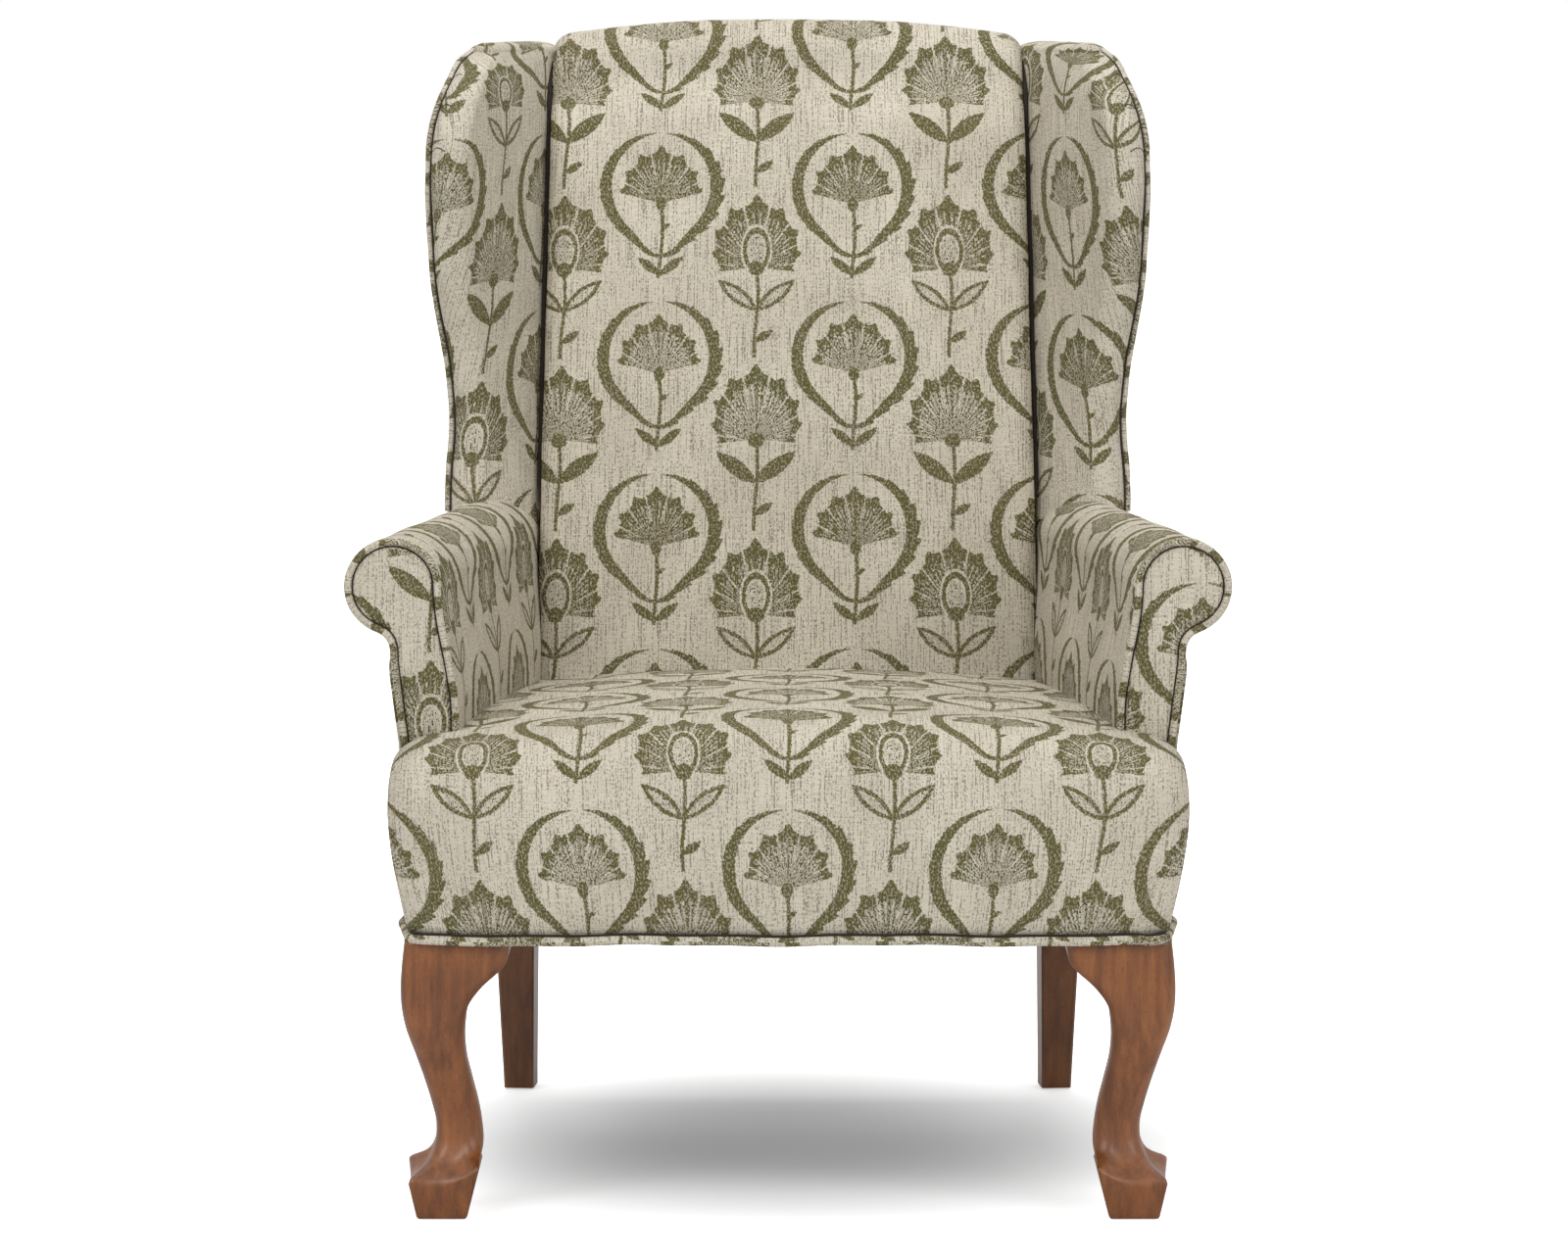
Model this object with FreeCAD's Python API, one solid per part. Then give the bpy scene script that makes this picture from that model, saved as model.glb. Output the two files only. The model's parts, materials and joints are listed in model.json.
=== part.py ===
"""Wingback armchair: hardwood frame, springs, foam, covers, welts and legs.

Millimetres, +Z up, the front faces -Y, +X is the right side as seen from the front.
The right half is modelled and mirrored. Everything is drawn in one frame and moved along Y
at the end, so that the origin lies below the middle of the box.
"""
import FreeCAD, Part
import math
import os

V = FreeCAD.Vector

# Heights above the floor
frame_bottom = 245.0
rail_height = 90.0
seat_height = 430.0
seat_side_drop = 26.0
seat_back_drop = 10.0
arm_height = 580.0
wing_height = 997.0
crest_height = 1020.0
crest_corner_drop = 18.0

# Plan sizes: half widths and places along Y
seat_front_y = -392.0
seat_bulge = 10.0
seat_half_width = 343.0
arm_front_y = -285.0
seat_back_y = 150.0
seat_nose_depth = 50.0
seat_nose_drop = 55.0
seat_nose_rise = 14.0
seat_hem = 3.0
side_front_x = 334.0
side_rear_x = 284.0
rear_bottom_y = 268.0
rear_rake = 130.0 / 755.0
arm_inner_front_x = 285.0
arm_inner_taper = 55.0 / 435.0
back_half_bottom = 236.0
back_half_top = 222.0
back_seat_y = 140.0
back_rake = 160.0 / 585.0
back_crown = 20.0
back_crown_fade = 0.8
back_seat_level = 415.0
crest_front_drop = 45.0
crest_rear_drop = 35.0
crest_lead = 4.0
back_plate_drop = 30.0

# Rounding of the ends of seat and back: place, and how much the section there is smaller
seat_end_rounding = [(0.0, 32.0), (6.0, 12.0), (20.0, 3.0), (56.0, 0.0), (180.0, 0.0)]
back_end_rounding = [(1.0, 9.0), (0.975, 3.5), (0.90, 0.8), (0.62, 0.0), (0.31, 0.0)]

# Arm roll: distance behind the arm front, centre x, radius
roll_profile = [
    (-10.0, 343.5, 42.0),
    (0.0, 342.0, 42.0),
    (220.0, 311.0, 40.5),
    (435.0, 278.0, 38.0),
    (620.0, 246.0, 32.0),
]
roll_radius = 42.0
roll_neck_radius = 18.0
arm_inner_curve = 113.0

# Wing: share of the height from arm to wing top, front edge place along Y, outer edge x, nose radius
wing_profile = [
    (-0.08, 112.0, 312.0, 20.0),
    (0.05, 138.0, 312.0, 20.0),
    (0.15, 148.0, 309.0, 20.0),
    (0.29, 150.0, 313.0, 20.0),
    (0.45, 140.0, 324.0, 20.0),
    (0.60, 131.0, 328.0, 20.0),
    (0.72, 130.0, 329.0, 20.0),
    (0.84, 143.0, 324.0, 19.0),
    (0.92, 176.0, 312.0, 17.0),
    (0.97, 220.0, 301.0, 14.0),
    (1.00, 270.0, 285.0, 10.0),
]

wing_root_overlap = 3.0
wing_root_depth = 40.0
wing_seam_depth = 8.0
wing_seam_rear = (-12.0, 40.0)
wing_seam_reach = (120.0, 200.0)

# Cabriole leg: height, outer edge x, inner edge x, corner radius as a share of the width
front_leg_profile = [
    (221.0, 330.5, 243.0, 0.12),
    (203.0, 331.5, 262.0, 0.16),
    (187.0, 331.0, 273.5, 0.22),
    (169.0, 328.0, 277.0, 0.26),
    (144.0, 320.0, 276.5, 0.30),
    (120.0, 312.5, 271.5, 0.33),
    (100.0, 307.0, 267.0, 0.35),
    (80.0, 303.0, 264.0, 0.35),
    (62.0, 305.0, 263.0, 0.32),
    (47.0, 312.5, 264.5, 0.22),
]
front_leg_top = (328.0, 237.0)
front_leg_top_corner = 0.08
leg_depth_shift = 64.0
foot_height = 35.0
foot_top = (326.0, 267.5)
foot_bottom = (319.0, 276.0)
foot_corner_radius = 3.0

# Rear leg: x and y ranges of the top and of the foot
rear_leg_top_x = (238.0, 280.0)
rear_leg_top_y = (220.0, 264.0)
rear_leg_foot_x = (242.0, 270.0)
rear_leg_foot_y = (266.0, 301.0)
rear_leg_corner = 2.0

# Thicknesses and clearances
cloth = 2.5
gap = 0.3
facing = 3.0
welt_radius = 3.2
welt_gap = 0.9
welt_tuck = 10.0
base_welt_radius = 4.0
base_welt_ear_in = 9.0
base_welt_side_out = 1.0
base_welt_front_out = 2.0
base_welt_turns = (18.0, 60.0, 8.0)
wood = 26.0
dust_cloth = 1.5
dust_cloth_inset = 6.0
pad_cloth = 1.5
insulator = 3.0
insulator_front_in = 50.0
insulator_rear_in = 10.0
back_sheet_margins = (5.0, 3.0)
seat_cover_tuck = 40.0
plate_top_drop = 20.0
under_roll_in = 15.0
under_roll_range = (-5.0, 600.0)

# Cutting spaces reach this far past the chair, and members run this far into what cuts them
beyond = 450.0
cut_past = 25.0
cut_margin = 1.0

# Frame members
rail_setback = 12.0
rail_web_step = 7.0
post_inner_x = 238.0
post_inner_top_x = 226.0
web_bottom_y = 225.0
web_rake = 120.0 / 650.0
back_top_rail_height = 50.0
frame_crown_gap = 35.0
lower_rail_z = 395.0
lower_rail_height = 45.0
lower_rail_depth = 22.0
scroll_board = 20.0
scroll_inset = 12.0
arm_post_depth = 40.0
arm_post_width = 22.0
arm_post_pad = 2.0
arm_rail_half_width = 22.0
arm_rail_outset = 2.0
arm_rail_height = 24.0
arm_rail_below_centre = 17.0
tack_rail_z = 372.0
tack_rail_height = 40.0
tack_rail_width = 22.0
tack_rail_inset = 12.0
tack_rail_clear = 1.0
wing_board = 16.0
wing_board_setback = 4.0
wing_board_nose_gap = 16.0
wing_board_top_share = 0.93
wing_board_span = (0.10, 0.90)
wing_board_past = 20.0
block_leg = 80.0
block_height = 60.0
front_block_wedge = 20.0
rear_block_wedge = 5.0
bolt_share = 0.3

# Springs and fasteners
spring_count = 5
spring_spacing = 90.0
spring_runs = 21
spring_half_width = 24.0
spring_wire = 1.9
clip_sheet = 1.2
clip_width = 22.0
clip_depth = 12.0
clip_room = 0.1
strap_count = 5
strap_height = 60.0
strap_half_length = 250.0
strap_margins = (60.0, 10.0)
glide_radius = 9.0
glide_height = 1.5
glide_pin_radius = 1.5
glide_pin_length = 14.0
bolt_radius = 4.0
bolt_in_leg = 45.0
bolt_above_block = 12.0
bolt_in_post = 40.0
insert_radius = 6.5
insert_length = 25.0
nut_radius = 9.0
nut_height = 7.0
dowel_radius = 5.0
dowel_length = 50.0
dowel_spacing = 40.0
front_dowel_in = 6.0
rear_dowel_in = 5.0
cross_dowel_lift = 5.0
top_dowel_depth = 22.0
lower_dowel_depth = 14.0
screw_radius = 2.2
screw_length = 45.0
screw_half_spacing = 15.0
screw_in_rail = 20.0
rear_screw_in = 14.0

rail_top = frame_bottom + rail_height
leg_top = frame_bottom - dust_cloth
frame_top = crest_height - frame_crown_gap
back_bottom = rail_top + 17.0
roll_centre_z = arm_height - roll_radius
spring_z = rail_top + clip_sheet + spring_wire
spring_roof = rail_top + 2 * clip_sheet + 2 * spring_wire
pad_top = spring_roof + insulator
inner_form_run = 12.0


def line(a, b):
    return Part.LineSegment(a, b).toShape()


def arc(a, middle, b):
    return Part.Arc(a, middle, b).toShape()


def polygon(points):
    return Part.Wire([line(a, b) for a, b in zip(points, points[1:] + points[:1])])


def loft(wires, ruled=False):
    return Part.makeLoft(wires, True, ruled)


def box(x0, x1, y0, y1, z0, z1):
    return Part.makeBox(x1 - x0, y1 - y0, z1 - z0, V(x0, y0, z0))


def prism(plan, z0, z1):
    wire = polygon([V(x, y, z0) for x, y in plan])
    return Part.Face(wire).extrude(V(0, 0, z1 - z0))


def profile_along_x(points, x0, x1):
    wire = polygon([V(x0, y, z) for y, z in points])
    return Part.Face(wire).extrude(V(x1 - x0, 0, 0))


def rod(start, direction, radius, length):
    return Part.makeCylinder(radius, length, start, direction)


def mirrored(shape):
    return shape.mirror(V(0, 0, 0), V(1, 0, 0))


def cut_all(shape, cutters):
    for cutter in cutters:
        shape = shape.cut(cutter)
    return shape


def group(shapes):
    return Part.makeCompound(shapes)


def tube(points, radius, directions):
    rings = []
    for point, direction in zip(points, directions):
        rings.append(Part.Wire(Part.makeCircle(radius, point, direction)))
    return loft(rings)


def path_directions(points):
    before = [points[0]] + points[:-1]
    after = points[1:] + [points[-1]]
    return [b - a for a, b in zip(before, after)]


# Lines that several pieces share

def side_x(y):
    slope = (side_rear_x - side_front_x) / (rear_bottom_y - arm_front_y)
    return side_front_x + slope * (y - arm_front_y)


def rear_y(z):
    return rear_bottom_y + rear_rake * (z - frame_bottom)


def web_y(z):
    return web_bottom_y + web_rake * (max(z, rail_top) - rail_top)


def arm_inner_x(y):
    return arm_inner_front_x - arm_inner_taper * (y - arm_front_y)


def back_half(z):
    share = (z - back_bottom) / (crest_height - back_bottom)
    return back_half_bottom + share * (back_half_top - back_half_bottom)


def back_face_y(z):
    return back_seat_y + back_rake * (z - back_seat_level)


def roll_at(y):
    """Centre x and radius of the arm roll at a place along Y."""
    back = y - arm_front_y
    for low, high in zip(roll_profile, roll_profile[1:]):
        if back <= high[0]:
            break
    part = (back - low[0]) / (high[0] - low[0])
    return [a + part * (b - a) for a, b in zip(low[1:], high[1:])]


def seat_top(x):
    return seat_height - seat_side_drop * (x / seat_half_width) ** 2


# Outer forms; inset 0 is the outside of the cloth and a greater inset a smaller form

def seat_section(x, inset, end_shrink, run):
    front = seat_front_y + inset + end_shrink
    top = seat_top(x) - inset - end_shrink
    lift = frame_bottom + 0.6 * end_shrink
    back = seat_back_y
    middle_y = 0.5 * (front + seat_nose_depth + back)
    foot = V(x, front, lift - run)
    a = V(x, front, lift + seat_hem)
    b = V(x, front - 0.7 * seat_bulge, top - seat_nose_drop)
    nose_end = V(x, front + seat_nose_depth, top)
    back_top = V(x, back, top - seat_back_drop)
    return Part.Wire([
        arc(a, V(x, front - seat_bulge, 0.5 * (a.z + b.z)), b),
        arc(b, V(x, front + 0.18 * seat_nose_depth, top - seat_nose_rise), nose_end),
        arc(nose_end, V(x, middle_y, top + 1.0), back_top),
        line(back_top, V(x, back, foot.z)),
        line(V(x, back, foot.z), foot),
        line(foot, a),
    ])


def seat_form(inset=0.0, run=0.0):
    stations = [(seat_half_width - inset - step, shrink) for step, shrink in seat_end_rounding]
    stations = [(-x, s) for x, s in stations] + [(0.0, 0.0)] + stations[::-1]
    return loft([seat_section(x, inset, shrink, run) for x, shrink in stations])


def back_section(share, inset, end_shrink, run):
    half_bottom = share * (back_half_bottom - inset)
    half_top = share * (back_half_top - inset)

    def at(y, z):
        climb = (z - back_bottom) / (crest_height - back_bottom)
        return V(half_bottom + climb * (half_top - half_bottom), y, z)

    pull = inset + end_shrink
    crest = crest_height - crest_corner_drop * share ** 2 - pull
    face_top = crest_height - crest_front_drop - 0.5 * end_shrink
    low = back_bottom - run
    middle = 0.5 * (back_bottom + face_top)
    crown = back_crown * (1.0 - back_crown_fade * share ** 4)
    rear_top = crest_height - crest_rear_drop - 0.5 * end_shrink
    back_off = cloth + gap + inset - 2.0 * run
    front_low = at(back_face_y(low) + pull, low)
    front_high = at(back_face_y(face_top) + pull, face_top)
    rear_high = at(rear_y(rear_top) - back_off, rear_top)
    rear_low = at(rear_y(low) - back_off, low)
    top_y = 0.5 * (front_high.y + rear_high.y) - crest_lead
    return Part.Wire([
        arc(front_low, at(back_face_y(middle) + pull - crown, middle), front_high),
        arc(front_high, at(top_y, crest), rear_high),
        line(rear_high, rear_low),
        line(rear_low, front_low),
    ])


def back_form(inset=0.0, run=0.0):
    stations = [(-s, e) for s, e in back_end_rounding] + [(0.0, 0.0)] + back_end_rounding[::-1]
    return loft([back_section(share, inset, shrink, run) for share, shrink in stations])


def arm_outline(y, inset, low):
    """The open outline of the arm in the plane y, from inner bottom over the roll to outer bottom."""
    centre_x, full_radius = roll_at(y)
    radius = full_radius - inset
    outer = side_x(y) - cloth - gap - inset
    inner = arm_inner_x(y) + inset
    neck = roll_neck_radius + inset
    neck_x = outer + neck
    neck_z = roll_centre_z - math.sqrt((neck + radius) ** 2 - (neck_x - centre_x) ** 2)
    neck_angle = math.atan2(neck_z - roll_centre_z, neck_x - centre_x)

    def on_roll(angle):
        return V(centre_x + radius * math.cos(angle), y, roll_centre_z + radius * math.sin(angle))

    def on_neck(angle):
        return V(neck_x + neck * math.cos(angle), y, neck_z + neck * math.sin(angle))

    start = V(inner, y, low)
    curve_z = roll_centre_z - arm_inner_curve
    lean = centre_x - radius - inner
    low_end = V(inner, y, curve_z)
    low_mid = V(inner + lean / 8, y, curve_z + arm_inner_curve / 4)
    middle = V(inner + lean / 2, y, curve_z + arm_inner_curve / 2)
    high_mid = V(inner + 7 * lean / 8, y, curve_z + 3 * arm_inner_curve / 4)
    left, top, right = on_roll(math.pi), on_roll(math.pi / 2), on_roll(0.0)
    meet = on_roll(neck_angle)
    neck_turn = 0.5 * (neck_angle + math.pi + math.pi)
    neck_end = V(outer, y, neck_z)
    return [
        line(start, low_end),
        arc(low_end, low_mid, middle),
        arc(middle, high_mid, left),
        arc(left, on_roll(0.75 * math.pi), top),
        arc(top, on_roll(0.25 * math.pi), right),
        arc(right, on_roll(0.5 * neck_angle), meet),
        arc(meet, on_neck(neck_turn), neck_end),
        line(neck_end, V(outer, y, low)),
    ]


def arm_section(y, inset, low):
    edges = arm_outline(y, inset, low)
    start = edges[0].Vertexes[0].Point
    end = edges[-1].Vertexes[-1].Point
    return Part.Wire(edges + [line(end, start)])


def arm_form(inset=0.0, run=0.0):
    low = rail_top - run
    ends = [arm_front_y - run] + [arm_front_y + row[0] for row in roll_profile[2:]]
    return loft([arm_section(y, inset, low) for y in ends])


def wing_station(share):
    """The wing in plan at one height: nose centre, rear ends of its faces, their normals, nose radius."""
    front, outer, radius = wing_at(share)
    z = arm_height + share * (wing_height - arm_height)
    centre = V(outer - radius, front + radius, z)
    crease = V(back_half(z) - wing_root_overlap, back_face_y(z) + wing_root_depth, z)
    rear = rear_y(z) - cloth - gap
    corner = V(side_x(rear), rear, z)
    inward = tangent_normal(crease, centre, radius, -1.0)
    outward = tangent_normal(corner, centre, radius, 1.0)
    return z, centre, crease, corner, inward, outward, radius


def wing_at(share):
    for low, high in zip(wing_profile, wing_profile[1:]):
        if share <= high[0]:
            part = (share - low[0]) / (high[0] - low[0])
            return [a + part * (b - a) for a, b in zip(low[1:], high[1:])]
    return wing_profile[-1][1:]


def tangent_normal(point, centre, radius, side):
    """Unit normal at the circle where the tangent from the point touches it."""
    away = point - centre
    angle = math.atan2(away.y, away.x)
    spread = math.acos(radius / math.hypot(away.x, away.y))
    turn = angle - side * spread
    return V(math.cos(turn), math.sin(turn), 0)


def wing_section(share, inset, run):
    z, centre, crease, corner, inward, outward, radius = wing_station(share)
    small = radius - inset
    inner_touch = centre + inward * small
    outer_touch = centre + outward * small
    inner_rear = crease - inward * inset
    along = (inner_rear - inner_touch).normalize()
    inner_rear = inner_rear + along * run
    outer_rear = corner - outward * inset
    back = (outer_rear - outer_touch).normalize()
    outer_rear = outer_rear + back * run
    front = (inward + outward).normalize()
    rear_corner = V(inner_rear.x, outer_rear.y, z)
    points = [inner_rear, inner_touch, centre + front * small, outer_touch, outer_rear, rear_corner]
    top = wing_height - inset if share == 1.0 else z
    for point in points:
        point.z = top
    return Part.Wire([
        line(points[0], points[1]),
        arc(points[1], points[2], points[3]),
        line(points[3], points[4]),
        line(points[4], points[5]),
        line(points[5], points[0]),
    ])


def wing_form(inset=0.0, run=0.0):
    return loft([wing_section(row[0], inset, run) for row in wing_profile])


def below(height):
    return box(-beyond, beyond, -beyond, beyond, 0.0, height)


def structure_zone(top, half=beyond):
    """The space behind the webbing, from the floor to the top of the frame."""
    return profile_along_x([
        (web_y(rail_top), 0.0), (web_y(rail_top), rail_top), (web_y(top), top),
        (rear_y(top) + beyond, top), (rear_y(top) + beyond, 0.0),
    ], -half, half)


def behind(depth, top):
    """The space behind a plane that lies a depth in front of the outside back."""
    return profile_along_x([
        (rear_y(0.0) - depth, 0.0), (rear_y(top) - depth, top),
        (rear_y(top) + beyond, top), (rear_y(top) + beyond, 0.0),
    ], -beyond, beyond)


def arm_zone():
    """Plan space of the arm and its facing, where the seat is cut back to a T."""
    front = arm_front_y - facing - gap
    rear = beyond
    return prism([
        (arm_inner_x(front) - gap, front), (arm_inner_x(rear) - gap, rear), (beyond, rear), (beyond, front),
    ], 0.0, arm_height)


# Frame

def seat_rails():
    front_y = seat_front_y + rail_setback
    front_x = side_x(arm_front_y) - rail_setback
    front = box(-front_x, front_x, front_y, front_y + wood, frame_bottom, rail_top)
    inner_y = front_y + wood
    rear = web_bottom_y - rail_web_step
    offset = cloth + gap
    side = prism([
        (front_x - wood, inner_y), (front_x, inner_y), (side_x(arm_front_y) - offset, arm_front_y),
        (side_x(rear) - offset, rear), (side_x(rear) - offset - wood, rear),
        (side_x(arm_front_y) - offset - wood, arm_front_y),
    ], frame_bottom, rail_top)
    back = box(-post_inner_x, post_inner_x, rear, rear + wood, frame_bottom, rail_top)
    return front, side, back, inner_y, rear


def back_post(rear_face):
    def outline(z, inner, front):
        rear = rear_y(z) - cloth - gap
        outer = side_x(rear) - cloth - gap
        return polygon([V(inner, front, z), V(outer, front, z), V(outer, rear, z), V(inner, rear, z)])

    lower = loft([
        outline(frame_bottom, post_inner_x, rear_face),
        outline(rail_top, post_inner_x, rear_face),
    ], True)
    step = 2 * pad_cloth
    upper = loft([
        outline(rail_top, post_inner_x, web_y(rail_top) + step),
        outline(frame_top, post_inner_top_x, web_y(frame_top) + step),
    ], True)
    return lower.fuse(upper).removeSplitter()


def back_rails(post):
    step = 2 * pad_cloth
    low = frame_top - back_top_rail_height

    def cross(z0, z1, depth):
        rear0 = depth + web_y(z0) + step if depth else rear_y(z0) - cloth - gap
        rear1 = depth + web_y(z1) + step if depth else rear_y(z1) - cloth - gap
        block = profile_along_x([
            (web_y(z0) + step, z0), (rear0, z0), (rear1, z1), (web_y(z1) + step, z1),
        ], -side_x(rear1) + wood, side_x(rear1) - wood)
        return cut_all(block, [post, mirrored(post)])

    top = cross(low, frame_top, 0.0)
    lower = cross(lower_rail_z, lower_rail_z + lower_rail_height, lower_rail_depth)
    return middle_solid(top), middle_solid(lower)


def middle_solid(shape):
    return min(shape.Solids, key=lambda solid: abs(solid.CenterOfMass.x))


def largest(shape):
    return max(shape.Solids, key=lambda solid: solid.Volume)


def arm_post_x():
    """Inner face of the arm post, which stands a thin pad inside the outside cover."""
    rear = arm_front_y + scroll_board + arm_post_depth
    return side_x(rear) - 2.0 * cloth - gap - arm_post_pad - arm_post_width


def arm_frame(post):
    board_front = arm_front_y
    board_rear = board_front + scroll_board
    face = Part.Face(arm_section(board_front, scroll_inset, rail_top))
    board = face.extrude(V(0, scroll_board, 0))
    rail_low = roll_centre_z - arm_rail_below_centre
    stump_x = arm_post_x()
    stump = box(stump_x, stump_x + arm_post_width, board_rear, board_rear + arm_post_depth,
                rail_top, rail_low)

    def bar(x_at, half, z0, z1, y0, y1):
        ends = []
        for y in (y0, y1):
            x = x_at(y)
            corners = [(x - half, z0), (x + half, z0), (x + half, z1), (x - half, z1)]
            ends.append(polygon([V(u, y, w) for u, w in corners]))
        return largest(loft(ends, True).cut(post))

    def roll_x(y):
        return roll_at(y)[0] + arm_rail_outset

    tack_front = arm_inner_x(arm_front_y) + tack_rail_inset + 0.5 * tack_rail_width
    tack_rear = post_inner_x + 0.5 * tack_rail_width + tack_rail_clear

    def tack_x(y):
        share = (y - arm_front_y) / (web_bottom_y - arm_front_y)
        return tack_front + share * (tack_rear - tack_front)

    far = web_y(arm_height) + cut_past
    top_rail = bar(roll_x, arm_rail_half_width, rail_low, rail_low + arm_rail_height, board_rear, far)
    tack_rail = bar(tack_x, 0.5 * tack_rail_width, tack_rail_z, tack_rail_z + tack_rail_height,
                    board_rear + arm_post_depth, web_y(tack_rail_z) + cut_past)
    return board, stump, top_rail, tack_rail


def wing_frame(zone):
    low_share = (roll_centre_z - arm_rail_below_centre + arm_rail_height - arm_height) / (
        wing_height - arm_height)
    low, high = wing_board_span
    shares = [low_share] + [row[0] for row in wing_profile if low < row[0] < high] + [wing_board_top_share]
    sections = []
    for share in shares:
        z, centre, crease, corner, inward, outward, radius = wing_station(share)
        skin = outward * (radius - cloth - wing_board_setback)
        along = (corner - (centre + outward * radius)).normalize()
        front = centre + skin + along * wing_board_nose_gap
        reach = (web_y(z) + wing_board_past - front.y) / along.y
        rear = front + along * reach
        inner = outward * wing_board
        sections.append(polygon([front - inner, front, rear, rear - inner]))
    return largest(loft(sections, True).cut(zone))


def corner_blocks(front_y, rear, side):
    height = (frame_bottom, frame_bottom + block_height)
    inner_x = side_x(front_y) - rail_setback - wood
    front = prism([(inner_x + front_block_wedge, front_y), (inner_x - block_leg, front_y),
                   (inner_x + front_block_wedge, front_y + block_leg)], *height).cut(side)
    inner_rear = side_x(rear) - wood
    back = prism([(inner_rear + rear_block_wedge, rear), (inner_rear - block_leg, rear),
                  (inner_rear + rear_block_wedge, rear - block_leg)], *height).cut(side)
    return largest(front), largest(back)


# Legs

def rounded_square(outer, inner, z, share):
    """Square section with its outer corner towards the chair's front corner."""
    x0, x1 = inner, outer
    y0, y1 = -outer - leg_depth_shift, -inner - leg_depth_shift
    r = share * (outer - inner)
    k = r * (1.0 - math.sqrt(0.5))
    return Part.Wire([
        line(V(x0 + r, y0, z), V(x1 - r, y0, z)),
        arc(V(x1 - r, y0, z), V(x1 - k, y0 + k, z), V(x1, y0 + r, z)),
        line(V(x1, y0 + r, z), V(x1, y1 - r, z)),
        arc(V(x1, y1 - r, z), V(x1 - k, y1 - k, z), V(x1 - r, y1, z)),
        line(V(x1 - r, y1, z), V(x0 + r, y1, z)),
        arc(V(x0 + r, y1, z), V(x0 + k, y1 - k, z), V(x0, y1 - r, z)),
        line(V(x0, y1 - r, z), V(x0, y0 + r, z)),
        arc(V(x0, y0 + r, z), V(x0 + k, y0 + k, z), V(x0 + r, y0, z)),
    ])


def front_leg():
    foot_share = foot_corner_radius / (foot_top[0] - foot_top[1])
    rows = [(leg_top,) + front_leg_top + (front_leg_top_corner,)] + front_leg_profile
    rows = rows + [(foot_height,) + foot_top + (foot_share,)]
    shank = loft([rounded_square(outer, inner, z, share) for z, outer, inner, share in rows])
    foot = loft([
        rounded_square(foot_top[0], foot_top[1], foot_height, foot_share),
        rounded_square(foot_bottom[0], foot_bottom[1], glide_height, foot_share),
    ], True)
    return shank.fuse(foot)


def rear_leg():
    slant = math.atan((side_front_x - side_rear_x) / (rear_bottom_y - arm_front_y))

    def outline(xs, ys, z):
        c = rear_leg_corner
        cx, cy = 0.5 * (xs[0] + xs[1]), 0.5 * (ys[0] + ys[1])
        hx, hy = 0.5 * (xs[1] - xs[0]), 0.5 * (ys[1] - ys[0])
        corners = [(-hx + c, -hy), (hx - c, -hy), (hx, -hy + c), (hx, hy - c),
                   (hx - c, hy), (-hx + c, hy), (-hx, hy - c), (-hx, -hy + c)]
        turned = []
        for x, y in corners:
            turned.append(V(cx + x * math.cos(slant) + y * math.sin(-slant),
                            cy - x * math.sin(-slant) + y * math.cos(slant), z))
        return polygon(turned)

    return loft([outline(rear_leg_top_x, rear_leg_top_y, leg_top),
                 outline(rear_leg_foot_x, rear_leg_foot_y, glide_height)], True)


def glide(x, y):
    disc = rod(V(x, y, 0), V(0, 0, 1), glide_radius, glide_height)
    pin = rod(V(x, y, 0), V(0, 0, 1), glide_pin_radius, glide_height + glide_pin_length)
    return disc.fuse(pin).removeSplitter()


# Springs

def spring(x, y0, y1):
    pitch = (y1 - y0) / (spring_runs - 1)
    bend = 0.5 * pitch
    reach = spring_half_width - bend
    edges = []
    side = -1.0
    for index in range(spring_runs):
        y = y0 + index * pitch
        a, b = V(x + side * reach, y, spring_z), V(x - side * reach, y, spring_z)
        edges.append(line(a, b))
        if index < spring_runs - 1:
            outer = V(b.x - side * bend, y + bend, spring_z)
            turn = bend * math.sqrt(0.5)
            first = V(b.x - side * turn, y + bend - turn, spring_z)
            second = V(b.x - side * turn, y + bend + turn, spring_z)
            edges.append(arc(b, first, outer))
            edges.append(arc(outer, second, V(b.x, y + pitch, spring_z)))
        side = -side
    start = edges[0].Vertexes[0].Point
    ring = Part.Wire(Part.makeCircle(spring_wire, start, V(1, 0, 0)))
    return Part.Wire(edges).makePipeShell([ring], True, True)


def clip(x, y, open_side):
    low = rail_top
    outer = box(x - 0.5 * clip_width, x + 0.5 * clip_width, y - 0.5 * clip_depth, y + 0.5 * clip_depth,
                low, low + 2 * clip_sheet + 2 * spring_wire)
    slot_y0 = y - spring_wire - clip_room if open_side > 0 else y - clip_depth
    slot_y1 = y + clip_depth if open_side > 0 else y + spring_wire + clip_room
    slot = box(x - clip_width, x + clip_width, slot_y0, slot_y1,
               low + clip_sheet, low + clip_sheet + 2 * spring_wire)
    return outer.cut(slot)


# Assembly

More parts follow.
